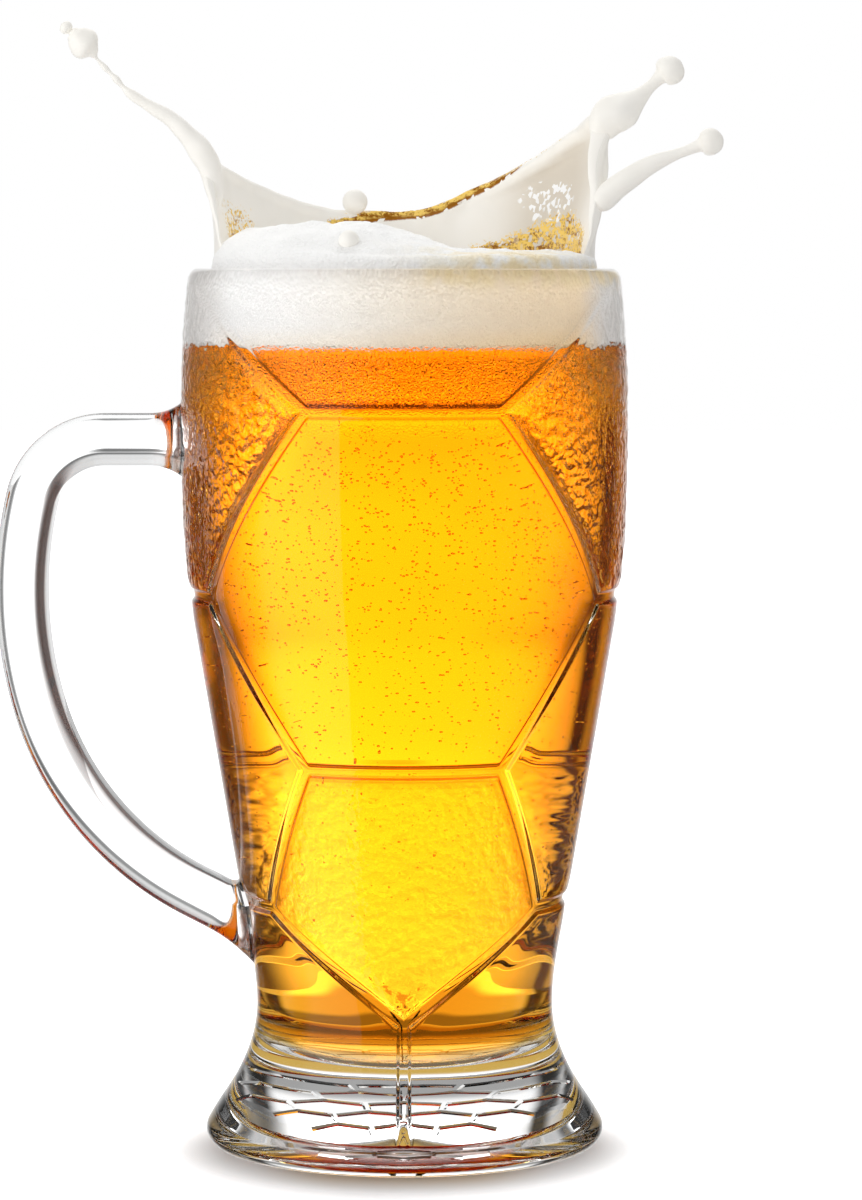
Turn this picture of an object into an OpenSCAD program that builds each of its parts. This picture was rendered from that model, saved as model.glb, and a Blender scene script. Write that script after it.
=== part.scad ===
// Football beer mug: a heavy pressed glass with a football's seams, full of beer with a splashing head.
// Millimetres. +Z is up, the origin is the middle of the foot on the table, and the front looks along -Y.

/* [Bowl] */
// Height of the rim above the table
mug_h = 175.5; // [168:0.5:186]
// Outer radius just under the rim
rim_r = 42.8; // [41:0.1:45]
// Outer radius of the belly, the widest part
belly_r = 44.5; // [43:0.1:48]
// Height of the belly
belly_z = 145; // [138:0.5:150]
// Outer radius of the shoulder, the upper end of the straight cone
shoulder_r = 42; // [40:0.1:43]
// Height of the shoulder
shoulder_z = 105; // [98:0.5:112]
// Outer radius of the hip, the lower end of the straight cone
hip_r = 32.7; // [31:0.1:36]
// Height of the hip
hip_z = 50; // [46:0.5:56]
// Outer radius of the waist, the narrowest part
waist_r = 29.7; // [28:0.1:31]
// Height of the waist
waist_z = 28.5; // [26:0.5:32]
// Glass thickness at the rim
lip = 4.3; // [3.5:0.1:5]
// Radius of the polished edges of the rim
lip_round = 1.7; // [1:0.1:1.7]
// Glass thickness along the cone
wall = 4.7; // [4:0.1:6]
// Narrowing of the inside from the rim down to the shoulder
draft = 0.9; // [0.5:0.1:2]
// Height of the inside bottom above the table
floor_z = 17; // [15.5:0.5:20]
// Radius of the rounded corner round the inside bottom
floor_round = 9; // [6:0.5:11]

/* [Foot] */
// Outer radius of the foot's edge
foot_r = 39.9; // [38:0.1:43]
// Radius of the rounded edge of the foot
foot_round = 3.4; // [2.5:0.1:4]
// Outer radius of the instep, low on the flare
instep_r = 36.6; // [35:0.1:37.5]
// Height of the instep
instep_z = 9.6; // [8.5:0.1:11]
// Height of the joint between foot and bowl
joint_z = 12; // [11.5:0.5:13.5]
// Inner radius of the ring that stands on the table
rest_r = 31; // [26:0.5:33]
// Depth of the hollow under the foot
hollow = 2.4; // [1.5:0.1:3.5]
// Width of a hexagon of the lattice under the foot
cell = 10.6; // [8:0.2:12]
// Width of the lattice's lines
cell_gap = 0.6; // [0.4:0.1:1.2]
// Depth of the lattice's lines
cell_depth = 0.5; // [0.3:0.1:1]

/* [Seams] */
// Width of a sunk seam
seam_w = 2.6; // [1.8:0.1:3.2]
// Depth of a sunk seam
seam_d = 0.9; // [0.5:0.1:1.4]
// Angle from the front to the front panel's top corner
top_angle = 25.4; // [20:0.2:30]
// Height of the front panel's top corner
top_z = 148.2; // [142:0.2:152]
// Angle from the front to the front panel's side corner
side_angle = 63.4; // [58:0.2:68]
// Height of the front panel's side corner
side_z = 111; // [104:0.2:118]
// Angle from the front to the front panel's bottom corner
low_angle = 30.7; // [26:0.2:35]
// Height of the front panel's bottom corner
low_z = 78.5; // [72:0.5:84]
// Angle from the front to the corner on the hip
hip_angle = 54; // [48:0.5:60]
// Height of the corner on the hip
hip_corner_z = 50; // [46:0.5:56]
// Height of the lowest point of the lower panel
point_z = 28.5; // [24:0.5:34]
// Height where the seam that runs down the foot ends
tail_z = 8.5; // [7:0.5:11]
// Angle from the front where the upper seam would meet the rim
rim_angle = 71; // [64:0.5:78]
// Plain band of glass left under the rim
plain_band = 5; // [4:0.5:9]

/* [Handle] */
// Height of the handle's upper arm
handle_z = 141.6; // [132:0.2:146]
// Thickness of the handle, from its inside to its outside
grip_t = 10.4; // [8:0.2:12]
// Depth of the handle, front to back
grip_w = 13; // [10:0.2:16]
// Chamfer along the inner edges of the handle
grip_cut = 2.6; // [1.5:0.1:3.5]
// Length of the straight upper arm
arm_l = 8.6; // [6:0.1:16]
// Radius of the bend at the top, on the centre line
bend_r = 15.2; // [12:0.1:18]
// Angle turned by the bend
bend_angle = 76.9; // [70:0.1:80]
// Radius of the grip, on the centre line
grip_r = 82; // [76:0.5:90]
// Angle turned by the grip
grip_angle = 29.8; // [26:0.1:32]
// Radius of the heel, on the centre line
heel_r = 61.5; // [56:0.5:66]
// Angle turned by the heel
heel_angle = 46; // [42:0.1:50]
// Length of the flared joint at each end of the handle
seal_l = 6.5; // [5:0.1:9]
// Growth of the flared joint from the handle to the bowl, as a share of the handle's section
seal_flare = 0.45; // [0.2:0.05:0.7]

/* [Drink] */
// Depth of the head below the rim, down to the beer
head_depth = 15.3; // [10:0.1:40]
// Room between the drink and the glass
gap = 0.3; // [0.2:0.05:0.6]
// Height of the head's edge above the rim
foam_edge = 2.5; // [1:0.1:4]
// Height of the head's dome above its edge
foam_dome = 5.5; // [3:0.1:8]

/* [Splash] */
// Height of the crown's right corner above the rim
crown_right = 32.4; // [26:0.2:38]
// Height of the crown's left corner above the rim
crown_left = 22.4; // [16:0.2:28]
// Height of the crown's lowest place, at the back, above the rim
crown_low = 11.4; // [8:0.2:14]
// Angle past the back where the crown is lowest
crown_dip = 10; // [0:1:20]
// Angle over which the crown dies away, towards the front at each side
crown_fade = 16; // [12:1:30]
// Thickness of the crown where it stands on the head
crown_t = 2.6; // [2:0.1:3.4]
// Thickness of the crown's upper edge
crown_edge_t = 1.8; // [1.2:0.1:2.4]
// Distance from the head's edge in to the crown
crown_inset = 0.2; // [0.1:0.1:1]
// How far the crown's highest corner leans out
crown_lean = 4; // [1:0.1:6]
// Radius of the bead on the crown's upper edge
edge_bead_r = 2.6; // [1.5:0.1:3.5]
// Radius of the bead on the head's dome
dome_bead_r = 2; // [1:0.1:3]
// Reach of the left arm, out from the crown
left_reach = 25.6; // [15:0.2:32]
// Rise of the left arm above the crown
left_rise = 25; // [15:0.2:32]
// Radius of the left arm at its root
left_root_r = 2.4; // [1.5:0.1:3]
// Radius of the left arm's neck, behind its bead
left_neck_r = 0.6; // [0.4:0.1:1]
// Radius of the left arm's bead
left_bead_r = 3.2; // [2:0.1:4]
// Reach of the upper right arm
upper_reach = 12.6; // [8:0.2:20]
// Rise of the upper right arm
upper_rise = 8.6; // [4:0.2:14]
// Radius of the upper right arm at its root
upper_root_r = 4; // [2:0.1:4.5]
// Radius of the upper right arm's neck
upper_neck_r = 1; // [0.5:0.1:1.5]
// Radius of the upper right arm's bead
upper_bead_r = 2.9; // [2:0.1:4]
// Height of the lower right arm's root above the rim
lower_root = 15; // [10:0.2:20]
// Reach of the lower right arm
lower_reach = 22.2; // [12:0.2:26]
// Rise of the lower right arm
lower_rise = 10; // [4:0.2:14]
// Radius of the lower right arm at its root
lower_root_r = 2.8; // [2:0.1:3.5]
// Radius of the lower right arm's neck
lower_neck_r = 1.1; // [0.5:0.1:1.5]
// Radius of the lower right arm's bead
lower_bead_r = 2.8; // [2:0.1:4]

/* [Hidden] */
$fn = 96;
glass_tint = [0.86, 0.90, 0.92];
beer_tint = [0.95, 0.58, 0.04];
foam_tint = [0.98, 0.96, 0.91];

// Outline of the mug: stations of height, radius and slope, joined by cubic curves
cone_slope = (shoulder_r - hip_r) / (shoulder_z - hip_z);
rim_slope = -2.2 * (belly_r - rim_r) / (mug_h - belly_z);
instep_slope = -1.9 * (instep_r - waist_r) / (waist_z - instep_z);
outside = [
    [instep_z, instep_r, instep_slope],
    [waist_z, waist_r, 0],
    [hip_z, hip_r, cone_slope],
    [shoulder_z, shoulder_r, cone_slope],
    [belly_z, belly_r, 0],
    [mug_h, rim_r, rim_slope]
];

// Outline of the inside, which never narrows upwards, so that the drink can leave it
mouth_r = rim_r - lip;
throat_r = mouth_r - draft / 2;
throat_z = shoulder_z + 0.55 * (belly_z - shoulder_z);
inside_shoulder_r = min(shoulder_r - wall, mouth_r - draft);
inside_hip_r = hip_r - wall;
inside_slope = (inside_shoulder_r - inside_hip_r) / (shoulder_z - hip_z);
throat_slope = (throat_r - inside_shoulder_r) / (throat_z - shoulder_z);
floor_corner_z = floor_z + floor_round;
floor_corner_r = min(waist_r - wall, inside_hip_r - 0.2 * inside_slope * (hip_z - floor_corner_z));
inside = [
    [floor_corner_z, floor_corner_r, 0],
    [hip_z, inside_hip_r, inside_slope],
    [shoulder_z, inside_shoulder_r, min(0.8 * inside_slope, 2.5 * throat_slope)],
    [throat_z, throat_r, min(0.01, throat_slope)],
    [mug_h, mouth_r, draft / 2 / (mug_h - throat_z)]
];

// Height of the beer's surface, where the head begins
beer_z = mug_h - head_depth;

// Value at height z of the cubic between two stations
function cubic(a, b, z) =
    let (h = b[0] - a[0], t = (z - a[0]) / h)
    a[1] * (1 + 2 * t) * (1 - t) ^ 2 + a[2] * h * t * (1 - t) ^ 2
    + b[1] * t ^ 2 * (3 - 2 * t) + b[2] * h * t ^ 2 * (t - 1);

// Radius at height z along a list of stations
function radius(stations, z, i = 0) =
    i == len(stations) - 2 || z <= stations[i + 1][0]
    ? cubic(stations[i], stations[i + 1], z)
    : radius(stations, z, i + 1);

// Slope of the outside at height z
function slope(z) = (radius(outside, z + 0.1) - radius(outside, z - 0.1)) / 0.2;

// Points [radius, height] of a list of stations, shrunk by an offset, from one height to another
function run(stations, from, to, steps, shrink = 0) =
    [for (k = [0:steps]) let (z = from + (to - from) * k / steps) [radius(stations, z) - shrink, z]];

// Points of an arc in a plane
function arc(centre, r, from, to, steps) =
    [for (k = [0:steps]) let (a = from + (to - from) * k / steps) centre + r * [cos(a), sin(a)]];

// Outline of the inside from the rim's height down to the axis, shrunk by an offset
function inside_outline(top, shrink) = concat(
    run(inside, top, shoulder_z, 8, shrink),
    run(inside, shoulder_z, floor_corner_z, 8, shrink),
    arc([floor_corner_r - floor_round, floor_corner_z], floor_round - shrink, -10, -90, 5),
    [[0, floor_z + shrink]]);

// Solid skin over a list of rings that all have the same number of points
module skin(rings) {
    m = len(rings[0]);
    n = len(rings);
    sides = [
        for (i = [0:n - 2], j = [0:m - 1])
        let (a = i * m + j, b = i * m + (j + 1) % m, c = a + m, d = b + m)
        each [[a, c, d], [a, d, b]]
    ];
    first = [for (j = [0:m - 1]) j];
    last = [for (j = [0:m - 1]) n * m - 1 - j];
    polyhedron([for (ring = rings) each ring], concat(sides, [first, last]));
}

function unit(v) = v / norm(v);

// Place on the outside, at an angle from the front and a height, and the outward direction there
function on_glass(angle, z) = let (r = radius(outside, z)) [r * sin(angle), -r * cos(angle), z];
function off_glass(angle, z) = unit([sin(angle), -cos(angle), -slope(z)]);

// Cutter for one seam: a channel swept over the glass from one corner to another
module seam(from, to, steps = 8) {
    lift = 0.45 * seam_w;
    past = 0.5 * seam_w / norm(on_glass(to[0], to[1]) - on_glass(from[0], from[1]));
    channel = [
        [0.85 * seam_w, lift], [0.5 * seam_w, 0.02], [0.2 * seam_w, -seam_d],
        [-0.2 * seam_w, -seam_d], [-0.5 * seam_w, 0.02], [-0.85 * seam_w, lift]
    ];
    way = [for (k = [0:steps]) from + (to - from) * (-past + (1 + 2 * past) * k / steps)];
    spots = [for (p = way) on_glass(p[0], p[1])];
    skin([
        for (k = [0:steps])
        let (
            ahead = unit(spots[min(k + 1, steps)] - spots[max(k - 1, 0)]),
            up = off_glass(way[k][0], way[k][1]),
            across = unit(cross(ahead, up))
        )
        [for (c = channel) spots[k] + c[0] * across + c[1] * up]
    ]);
}

// The same corner in each quarter: on the right or left (side 1 or -1), in front or behind
function corner(angle, z, side, behind) = [behind ? 180 - side * angle : side * angle, z];

// Seams of the football on the bowl
module seams() {
    fade = (mug_h - plain_band - top_z) / (mug_h - top_z);
    fade_angle = top_angle + fade * (rim_angle - top_angle);
    zigzag = [
        [fade_angle, mug_h - plain_band], [top_angle, top_z], [side_angle, side_z],
        [low_angle, low_z], [hip_angle, hip_corner_z], [0, point_z]
    ];
    for (side = [1, -1], behind = [false, true], k = [0:len(zigzag) - 2])
        seam(corner(zigzag[k][0], zigzag[k][1], side, behind),
             corner(zigzag[k + 1][0], zigzag[k + 1][1], side, behind));
    for (turn = [0, 180]) {
        seam([turn - top_angle, top_z], [turn + top_angle, top_z]);
        seam([turn - low_angle, low_z], [turn + low_angle, low_z]);
        seam([turn + side_angle, side_z], [turn + 180 - side_angle, side_z]);
        seam([turn + hip_angle, hip_corner_z], [turn + 180 - hip_angle, hip_corner_z]);
    }
    foot_seams();
}

// The two seams that run down from the lower panels over the foot
module foot_seams() {
    for (turn = [0, 180]) seam([turn, tail_z], [turn, point_z]);
}

// Outside of the bowl as one plain solid, from the joint to the rim
module bowl_outside() {
    rotate_extrude() polygon(concat(
        [[0, joint_z]],
        run(outside, joint_z, waist_z, 5),
        run(outside, waist_z, hip_z, 5),
        run(outside, hip_z, shoulder_z, 2),
        run(outside, shoulder_z, belly_z, 6),
        run(outside, belly_z, mug_h - lip_round, 5),
        arc([rim_r - lip_round, mug_h - lip_round], lip_round, 20, 90, 4),
        [[0, mug_h]]));
}

module bowl() {
    color(glass_tint, 0.5) difference() {
        bowl_outside();
        rotate_extrude() polygon(concat(
            [[0, mug_h + 1], [mouth_r + lip_round, mug_h + 1]],
            arc([mouth_r + lip_round, mug_h - lip_round], lip_round, 90, 160, 4),
            inside_outline(mug_h - lip_round, 0)));
        seams();
    }
}

module foot() {
    toe = foot_r - foot_round;
    ceiling = hollow + cell_depth;
    rows = ceil(rest_r / cell);
    color(glass_tint, 0.5) {
        difference() {
            rotate_extrude() polygon(concat(
                [[0, ceiling], [rest_r - ceiling, ceiling], [rest_r, 0]],
                arc([toe, foot_round], foot_round, -90, 30, 6),
                run(outside, instep_z, joint_z, 3),
                [[0, joint_z]]));
            foot_seams();
        }
        for (i = [-rows:rows], j = [-rows:rows]) {
            at = cell * [i + j / 2, j * sqrt(3) / 2];
            if (norm(at) + cell / sqrt(3) < rest_r - ceiling)
                translate([at[0], at[1], hollow]) rotate(30)
                    cylinder(r = (cell - cell_gap) / sqrt(3), h = cell_depth, $fn = 6);
        }
    }
}

// Section of the handle: x points to the outside of its bends, y front to back
grip_points = let (x = grip_t / 2, y = grip_w / 2, round_x = x - grip_cut) concat(
    [for (k = [0:12]) let (a = -90 + 15 * k) [-round_x + (x + round_x) * cos(a), y * sin(a)]],
    [[-x, y - grip_cut], [-x, grip_cut - y]]);

// A place on the handle's centre line is [x, z, heading]: heading 0 runs out along -X, 90 runs down
function ahead(p, l) = [p[0] - l * cos(p[2]), p[1] - l * sin(p[2]), p[2]];
function turned(p, r, a) =
    let (h = p[2] + a)
    [p[0] + r * (sin(p[2]) - sin(h)), p[1] - r * (cos(p[2]) - cos(h)), h];

// Places along a bend, without its first one
function bend(p, r, a, steps) = [for (k = [1:steps]) turned(p, r, a * k / steps)];

// Section of the handle, grown by a factor, at a place on the centre line
function grip_ring(p, size = 1) =
    [for (c = grip_points) [p[0] - size * c[0] * sin(p[2]), size * c[1], p[1] + size * c[0] * cos(p[2])]];

// Distance from a place on the centre line, straight ahead, to the glass
function to_glass(p, l = 0, tries = 8) =
    tries == 0 ? l
    : let (q = ahead(p, l)) to_glass(p, l - (q[0] + radius(outside, q[1])) / -cos(p[2]), tries - 1);

arm_start = [-radius(outside, handle_z) - seal_l, handle_z, 0];
bend_start = ahead(arm_start, arm_l);
grip_start = turned(bend_start, bend_r, bend_angle);
heel_start = turned(grip_start, grip_r, grip_angle);
tail_start = turned(heel_start, heel_r, heel_angle);
tail_end = ahead(tail_start, to_glass(tail_start) - seal_l);

module handle() {
    places = concat(
        [arm_start, bend_start],
        bend(bend_start, bend_r, bend_angle, 12),
        bend(grip_start, grip_r, grip_angle, 8),
        bend(heel_start, heel_r, heel_angle, 10),
        [tail_end]);
    color(glass_tint, 0.5) skin([for (p = places) grip_ring(p)]);
}

// Flared joint: it grows from the handle's section at p towards the glass, which cuts it off
module seal(p) {
    steps = 6;
    sunk = 12;
    color(glass_tint, 0.5) difference() {
        skin([
            for (k = [0:steps + 1])
            let (share = min(k / steps, 1))
            grip_ring(ahead(p, k > steps ? seal_l + sunk : seal_l * share), 1 + seal_flare * share ^ 2.4)
        ]);
        bowl_outside();
    }
}

module upper_handle_seal() {
    seal([arm_start[0], arm_start[1], 180]);
}

module lower_handle_seal() {
    seal(tail_end);
}

module beer() {
    color(beer_tint) rotate_extrude() polygon(concat([[0, beer_z]], inside_outline(beer_z, gap)));
}

foam_r = mouth_r - gap;
foam_top = mug_h + foam_edge;
crown_r = foam_r - crown_inset - crown_t / 2;
dome_r = crown_r - crown_t;

// Height of the head's dome, flat on top with round shoulders, at a distance from the axis
function dome(r) = foam_top + foam_dome * (1 - (r / dome_r) ^ 4);

module foam_head() {
    color(foam_tint) rotate_extrude() polygon(concat(
        [[0, beer_z]],
        run(inside, beer_z, mug_h, 3, gap),
        [[foam_r, foam_top]],
        [for (k = [0:10]) let (r = dome_r * (1 - (k / 10) ^ 1.5)) [r, dome(r)]]));
}

// Height of the crown above the head's edge at an angle from the front, over the right, back and left
function ease(t) = let (u = min(max(t, 0), 1)) u * u * (3 - 2 * u);
function crown_h(angle) =
    let (
        dip = 180 + crown_dip,
        side = angle < dip ? crown_right : crown_left,
        reach = angle < dip ? (dip - angle) / (dip - 90) : (angle - dip) / (270 - dip),
        fade = ease(1 - max(90 - angle, angle - 270, 0) / crown_fade)
    )
    max((crown_low + (side - crown_low) * ease(reach) - foam_edge) * fade, 0.5);

// Radius of the middle of the crown's sheet at a share of its height
function crown_mid(h, share) = crown_r + crown_lean * (h / crown_right) * share ^ 1.5;

module splash_crown() {
    steps = 48;
    from = 90 - crown_fade;
    to = 270 + crown_fade;
    shares = [0, 0.35, 0.7, 0.95];
    color(foam_tint) skin([
        for (k = [0:steps])
        let (
            angle = from + (to - from) * k / steps,
            h = crown_h(angle),
            wide = [for (s = shares) (crown_t + (crown_edge_t - crown_t) * s) / 2],
            outer = [for (i = [0:3]) [crown_mid(h, shares[i]) + wide[i], shares[i] * h]],
            inner = [for (i = [3:-1:0]) [crown_mid(h, shares[i]) - wide[i], shares[i] * h]],
            section = concat(outer, [[crown_mid(h, 1), h]], inner)
        )
        [for (s = section) [s[0] * sin(angle), -s[0] * cos(angle), foam_top + s[1]]]
    ]);
}

// Place on the crown's upper edge at an angle: distance from the axis and height
function crown_edge(angle) =
    let (h = crown_h(angle)) [crown_mid(h, 1), foam_top + h];

// Ring of a jet of a radius, square to its lean, at a distance from the axis and a height
function jet_ring(at, r, lean, sides = 10) = [
    for (j = [0:sides - 1]) let (a = -360 * j / sides)
    [at[0] - r * cos(a) * sin(lean), r * sin(a), at[1] + r * cos(a) * cos(lean)]
];

// Arm of a splash: a tapering jet that leaves the crown at an angle, bows by a share of its reach
// and ends in a bead
module splash_arm(angle, root, reach, rise, bow_share, root_r, neck_r, bead_r) {
    steps = 12;
    straight = atan2(rise, reach);
    way = [reach, rise] - bead_r * [cos(straight), sin(straight)];
    bow = bow_share * reach;
    centre = root + [reach, rise];
    jet = [
        for (k = [0:steps])
        let (
            t = k / steps,
            at = root + way * t + [0, bow * sin(180 * t)],
            lean = atan2(way[1] + bow * PI * cos(180 * t), way[0])
        )
        jet_ring(at, neck_r + (root_r - neck_r) * (1 - t) ^ 1.6, lean)
    ];
    bead = [
        for (a = [145:-22.5:10])
        jet_ring(centre + bead_r * cos(a) * [cos(straight), sin(straight)], bead_r * sin(a), straight)
    ];
    rotate(angle - 90) skin(concat(jet, bead));
}

// Angles from the front, over the right, at which the arms leave the crown
left_angle = 268;
upper_angle = 94;
lower_angle = 86;

// Root of an arm, sunk into the crown's upper edge by shares of the arm's radius
function edge_root(angle, root_r) = crown_edge(angle) - root_r * [0.15, 0.55];

module left_splash_arm() {
    color(foam_tint) splash_arm(
        angle = left_angle, root = edge_root(left_angle, left_root_r),
        reach = left_reach, rise = left_rise, bow_share = 0.03,
        root_r = left_root_r, neck_r = left_neck_r, bead_r = left_bead_r);
}

module upper_right_splash_arm() {
    color(foam_tint) splash_arm(
        angle = upper_angle, root = edge_root(upper_angle, upper_root_r),
        reach = upper_reach, rise = upper_rise, bow_share = -0.06,
        root_r = upper_root_r, neck_r = upper_neck_r, bead_r = upper_bead_r);
}

module lower_right_splash_arm() {
    h = crown_h(lower_angle);
    share = (lower_root - foam_edge) / h;
    color(foam_tint) splash_arm(
        angle = lower_angle, root = [crown_mid(h, share) + 0.3 * lower_root_r, mug_h + lower_root],
        reach = lower_reach, rise = lower_rise, bow_share = 0.05,
        root_r = lower_root_r, neck_r = lower_neck_r, bead_r = lower_bead_r);
}

// Beads: one on the crown's edge at the back, one on the dome in front
module foam_beads() {
    edge_angle = 196;
    spot = crown_edge(edge_angle);
    dome_bead_angle = -20;
    dome_bead_at = 0.9 * dome_r;
    color(foam_tint) {
        translate([spot[0] * sin(edge_angle), -spot[0] * cos(edge_angle), spot[1] + 0.85 * edge_bead_r])
            sphere(edge_bead_r);
        translate([dome_bead_at * sin(dome_bead_angle), -dome_bead_at * cos(dome_bead_angle),
                dome(dome_bead_at) + 0.5 * dome_bead_r])
            sphere(dome_bead_r);
    }
}

bowl();
foot();
handle();
upper_handle_seal();
lower_handle_seal();
beer();
foam_head();
splash_crown();
left_splash_arm();
upper_right_splash_arm();
lower_right_splash_arm();
foam_beads();
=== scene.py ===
"""Football beer mug: pressed glass with sunk football seams, full of beer under a splashing head.

Pieces are worked out in millimetres and written in metres. Their angles are degrees from the front
(-Y), counted over the right (+X), so that a place is (r * sin(angle), -r * cos(angle), z). Finishes
and the stage are in metres and radians.
"""
import math

import bpy
import numpy as np
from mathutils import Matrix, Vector
from mathutils.geometry import delaunay_2d_cdt


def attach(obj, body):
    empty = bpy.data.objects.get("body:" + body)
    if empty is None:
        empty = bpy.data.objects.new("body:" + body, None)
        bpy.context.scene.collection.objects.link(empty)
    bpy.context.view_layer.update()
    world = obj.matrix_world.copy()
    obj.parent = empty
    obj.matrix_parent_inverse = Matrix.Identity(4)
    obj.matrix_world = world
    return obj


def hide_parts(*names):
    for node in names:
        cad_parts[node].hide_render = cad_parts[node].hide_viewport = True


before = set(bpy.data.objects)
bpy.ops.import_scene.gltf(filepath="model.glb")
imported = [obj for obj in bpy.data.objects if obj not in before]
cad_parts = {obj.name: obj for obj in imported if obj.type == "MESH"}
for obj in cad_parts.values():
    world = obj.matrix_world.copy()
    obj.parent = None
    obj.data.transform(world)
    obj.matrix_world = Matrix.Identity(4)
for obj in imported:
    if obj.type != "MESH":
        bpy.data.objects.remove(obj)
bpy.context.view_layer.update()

MM = 0.001

# Mug
MUG_H = 175.5
RIM_R = 42.8
LIP = 4.3
LIP_ROUND = 1.7
LIP_Z = MUG_H - LIP_ROUND
MOUTH_R = RIM_R - LIP
BOTTOM_Z = 17.0
BOTTOM_ROUND = 9.0
CORNER_R = 25.0
WALL_Z = BOTTOM_Z + BOTTOM_ROUND
FOOT_R = 39.9
FOOT_ROUND = 3.4
TOE_R = FOOT_R - FOOT_ROUND
REST_R = 31.0
HOLLOW = 2.4
CELL = 10.6
CELL_GAP = 0.6
CELL_DEPTH = 0.5
CELL_BEVEL = 0.25
CEILING = HOLLOW + CELL_DEPTH

# Stations of height, radius and slope along the outside and the inside
CONE_SLOPE = 0.169
TOE_END = math.radians(30)
OUTSIDE = np.array([
    [FOOT_ROUND * (1 + math.sin(TOE_END)), TOE_R + FOOT_ROUND * math.cos(TOE_END), -math.tan(TOE_END)],
    [9.6, 36.6, -0.694],
    [28.5, 29.7, 0],
    [50, 32.7, CONE_SLOPE],
    [105, 42, CONE_SLOPE],
    [145, 44.5, 0],
    [MUG_H, RIM_R, -0.1226],
])
INSIDE = np.array([
    [WALL_Z, CORNER_R, 0],
    [50, 28, CONE_SLOPE],
    [105, 37.3, 0.0852],
    [127, 38.05, 0.01],
    [MUG_H, MOUTH_R, 0.0093],
])

# Seams: corners of one quarter as angle and height, from the rim down to the foot
SEAM_RIM = (71, MUG_H)
SEAM_TOP = (25.4, 148.2)
SEAM_SIDE = (63.4, 111)
SEAM_LOW = (30.7, 78.5)
SEAM_HIP = (54, 50)
SEAM_POINT = (0, 28.5)
SEAM_TAIL = (0, 8.5)
ZIGZAG = [SEAM_POINT, SEAM_HIP, SEAM_LOW, SEAM_SIDE, SEAM_TOP, SEAM_RIM]
SEAMS = list(zip(ZIGZAG[:-1], ZIGZAG[1:])) + [
    (SEAM_TAIL, SEAM_POINT),
    ((0, SEAM_TOP[1]), SEAM_TOP),
    ((0, SEAM_LOW[1]), SEAM_LOW),
    (SEAM_SIDE, (90, SEAM_SIDE[1])),
    (SEAM_HIP, (90, SEAM_HIP[1])),
]

# Drink
BEER_Z = MUG_H - 15.3
WETTING = 0.12
FOAM_TOP = MUG_H + 2.5
FOAM_R = MOUTH_R - 0.3
CROWN_T = 2.6
CROWN_R = FOAM_R - 0.2 - CROWN_T / 2
DOME_R = CROWN_R - CROWN_T


def smooth_step(low, high, value):
    """Rises from 0 at low to 1 at high along 3t^2 - 2t^3."""
    t = np.clip((value - low) / (high - low), 0, 1)
    return t * t * (3 - 2 * t)


def hump(value, middle, wide, power=2):
    """1 at the middle, and exp(-((value - middle) / wide)^power) away from it."""
    return np.exp(-((value - middle) / wide) ** power)


def radius(stations, z):
    """Radius at heights z: one cubic between each two stations of height, radius and slope."""
    z = np.asarray(z, float)
    i = np.clip(np.searchsorted(stations[:, 0], z, side="right") - 1, 0, len(stations) - 2)
    a, b = stations[i], stations[i + 1]
    h = b[..., 0] - a[..., 0]
    t = (z - a[..., 0]) / h
    start = a[..., 1] * (1 + 2 * t) + a[..., 2] * h * t
    end = b[..., 1] * (3 - 2 * t) + b[..., 2] * h * (t - 1)
    return start * (1 - t) ** 2 + end * t ** 2


def ripple(points, size, seed, waves=20):
    """Smooth bumps of unit spread: cosine waves in random directions, each about size long, added up."""
    rng = np.random.default_rng(seed)
    heading = rng.normal(size=(waves, 3))
    heading /= np.linalg.norm(heading, axis=1, keepdims=True)
    length = size * rng.uniform(0.75, 1.35, (waves, 1))
    phase = rng.uniform(0, 2 * np.pi, waves)
    return np.cos(points @ (2 * np.pi * heading / length).T + phase).sum(-1) / math.sqrt(waves / 2)


def around(angle, r, z):
    """Places at an angle from the front, a distance from the axis and a height."""
    a = np.radians(angle)
    a, r, z = np.broadcast_arrays(a, r, z)
    return np.stack([r * np.sin(a), -r * np.cos(a), z], -1)


def arc(centre_r, centre_z, r, start, end, count):
    """Places along an arc of an outline, as distances from the axis and heights."""
    a = np.radians(np.linspace(start, end, count))
    return centre_r + r * np.cos(a), centre_z + r * np.sin(a)


def grid_faces(rows, columns):
    """Quads of a grid closed round its columns, facing out where rows run up and columns to the right."""
    row, column = np.meshgrid(np.arange(rows - 1), np.arange(columns), indexing="ij")
    a = row * columns + column
    b = row * columns + (column + 1) % columns
    return np.stack([a, b, b + columns, a + columns], -1).reshape(-1, 4).tolist()


def pole_faces(columns, ring, pole, above):
    """Triangles from the ring that starts at a point number to one pole point, above or below it."""
    a = ring + np.arange(columns)
    b = ring + (np.arange(columns) + 1) % columns
    p = np.full(columns, pole)
    return np.stack([a, b, p] if above else [b, a, p], -1).tolist()


def closed_grid(rows):
    """Points and faces of rings from a bottom pole to a top pole, each the middle of its end ring."""
    count, columns = rows.shape[:2]
    points = np.concatenate([rows.reshape(-1, 3), [rows[0].mean(0)], [rows[-1].mean(0)]])
    faces = grid_faces(count, columns)
    faces += pole_faces(columns, 0, count * columns, above=False)
    faces += pole_faces(columns, (count - 1) * columns, count * columns + 1, above=True)
    return points, faces


def pole_marks(marks):
    """Named values of a grid's points, with 0 at its two poles."""
    return {name: np.concatenate([values.reshape(-1), [0, 0]]) for name, values in marks.items()}


def add_object(name, data, *unseen):
    """Puts an object into the scene, unseen by the kinds of ray that are named."""
    made = bpy.data.objects.new(name, data)
    bpy.context.scene.collection.objects.link(made)
    for kind in unseen:
        setattr(made, "visible_" + kind, False)
    return made


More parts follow.
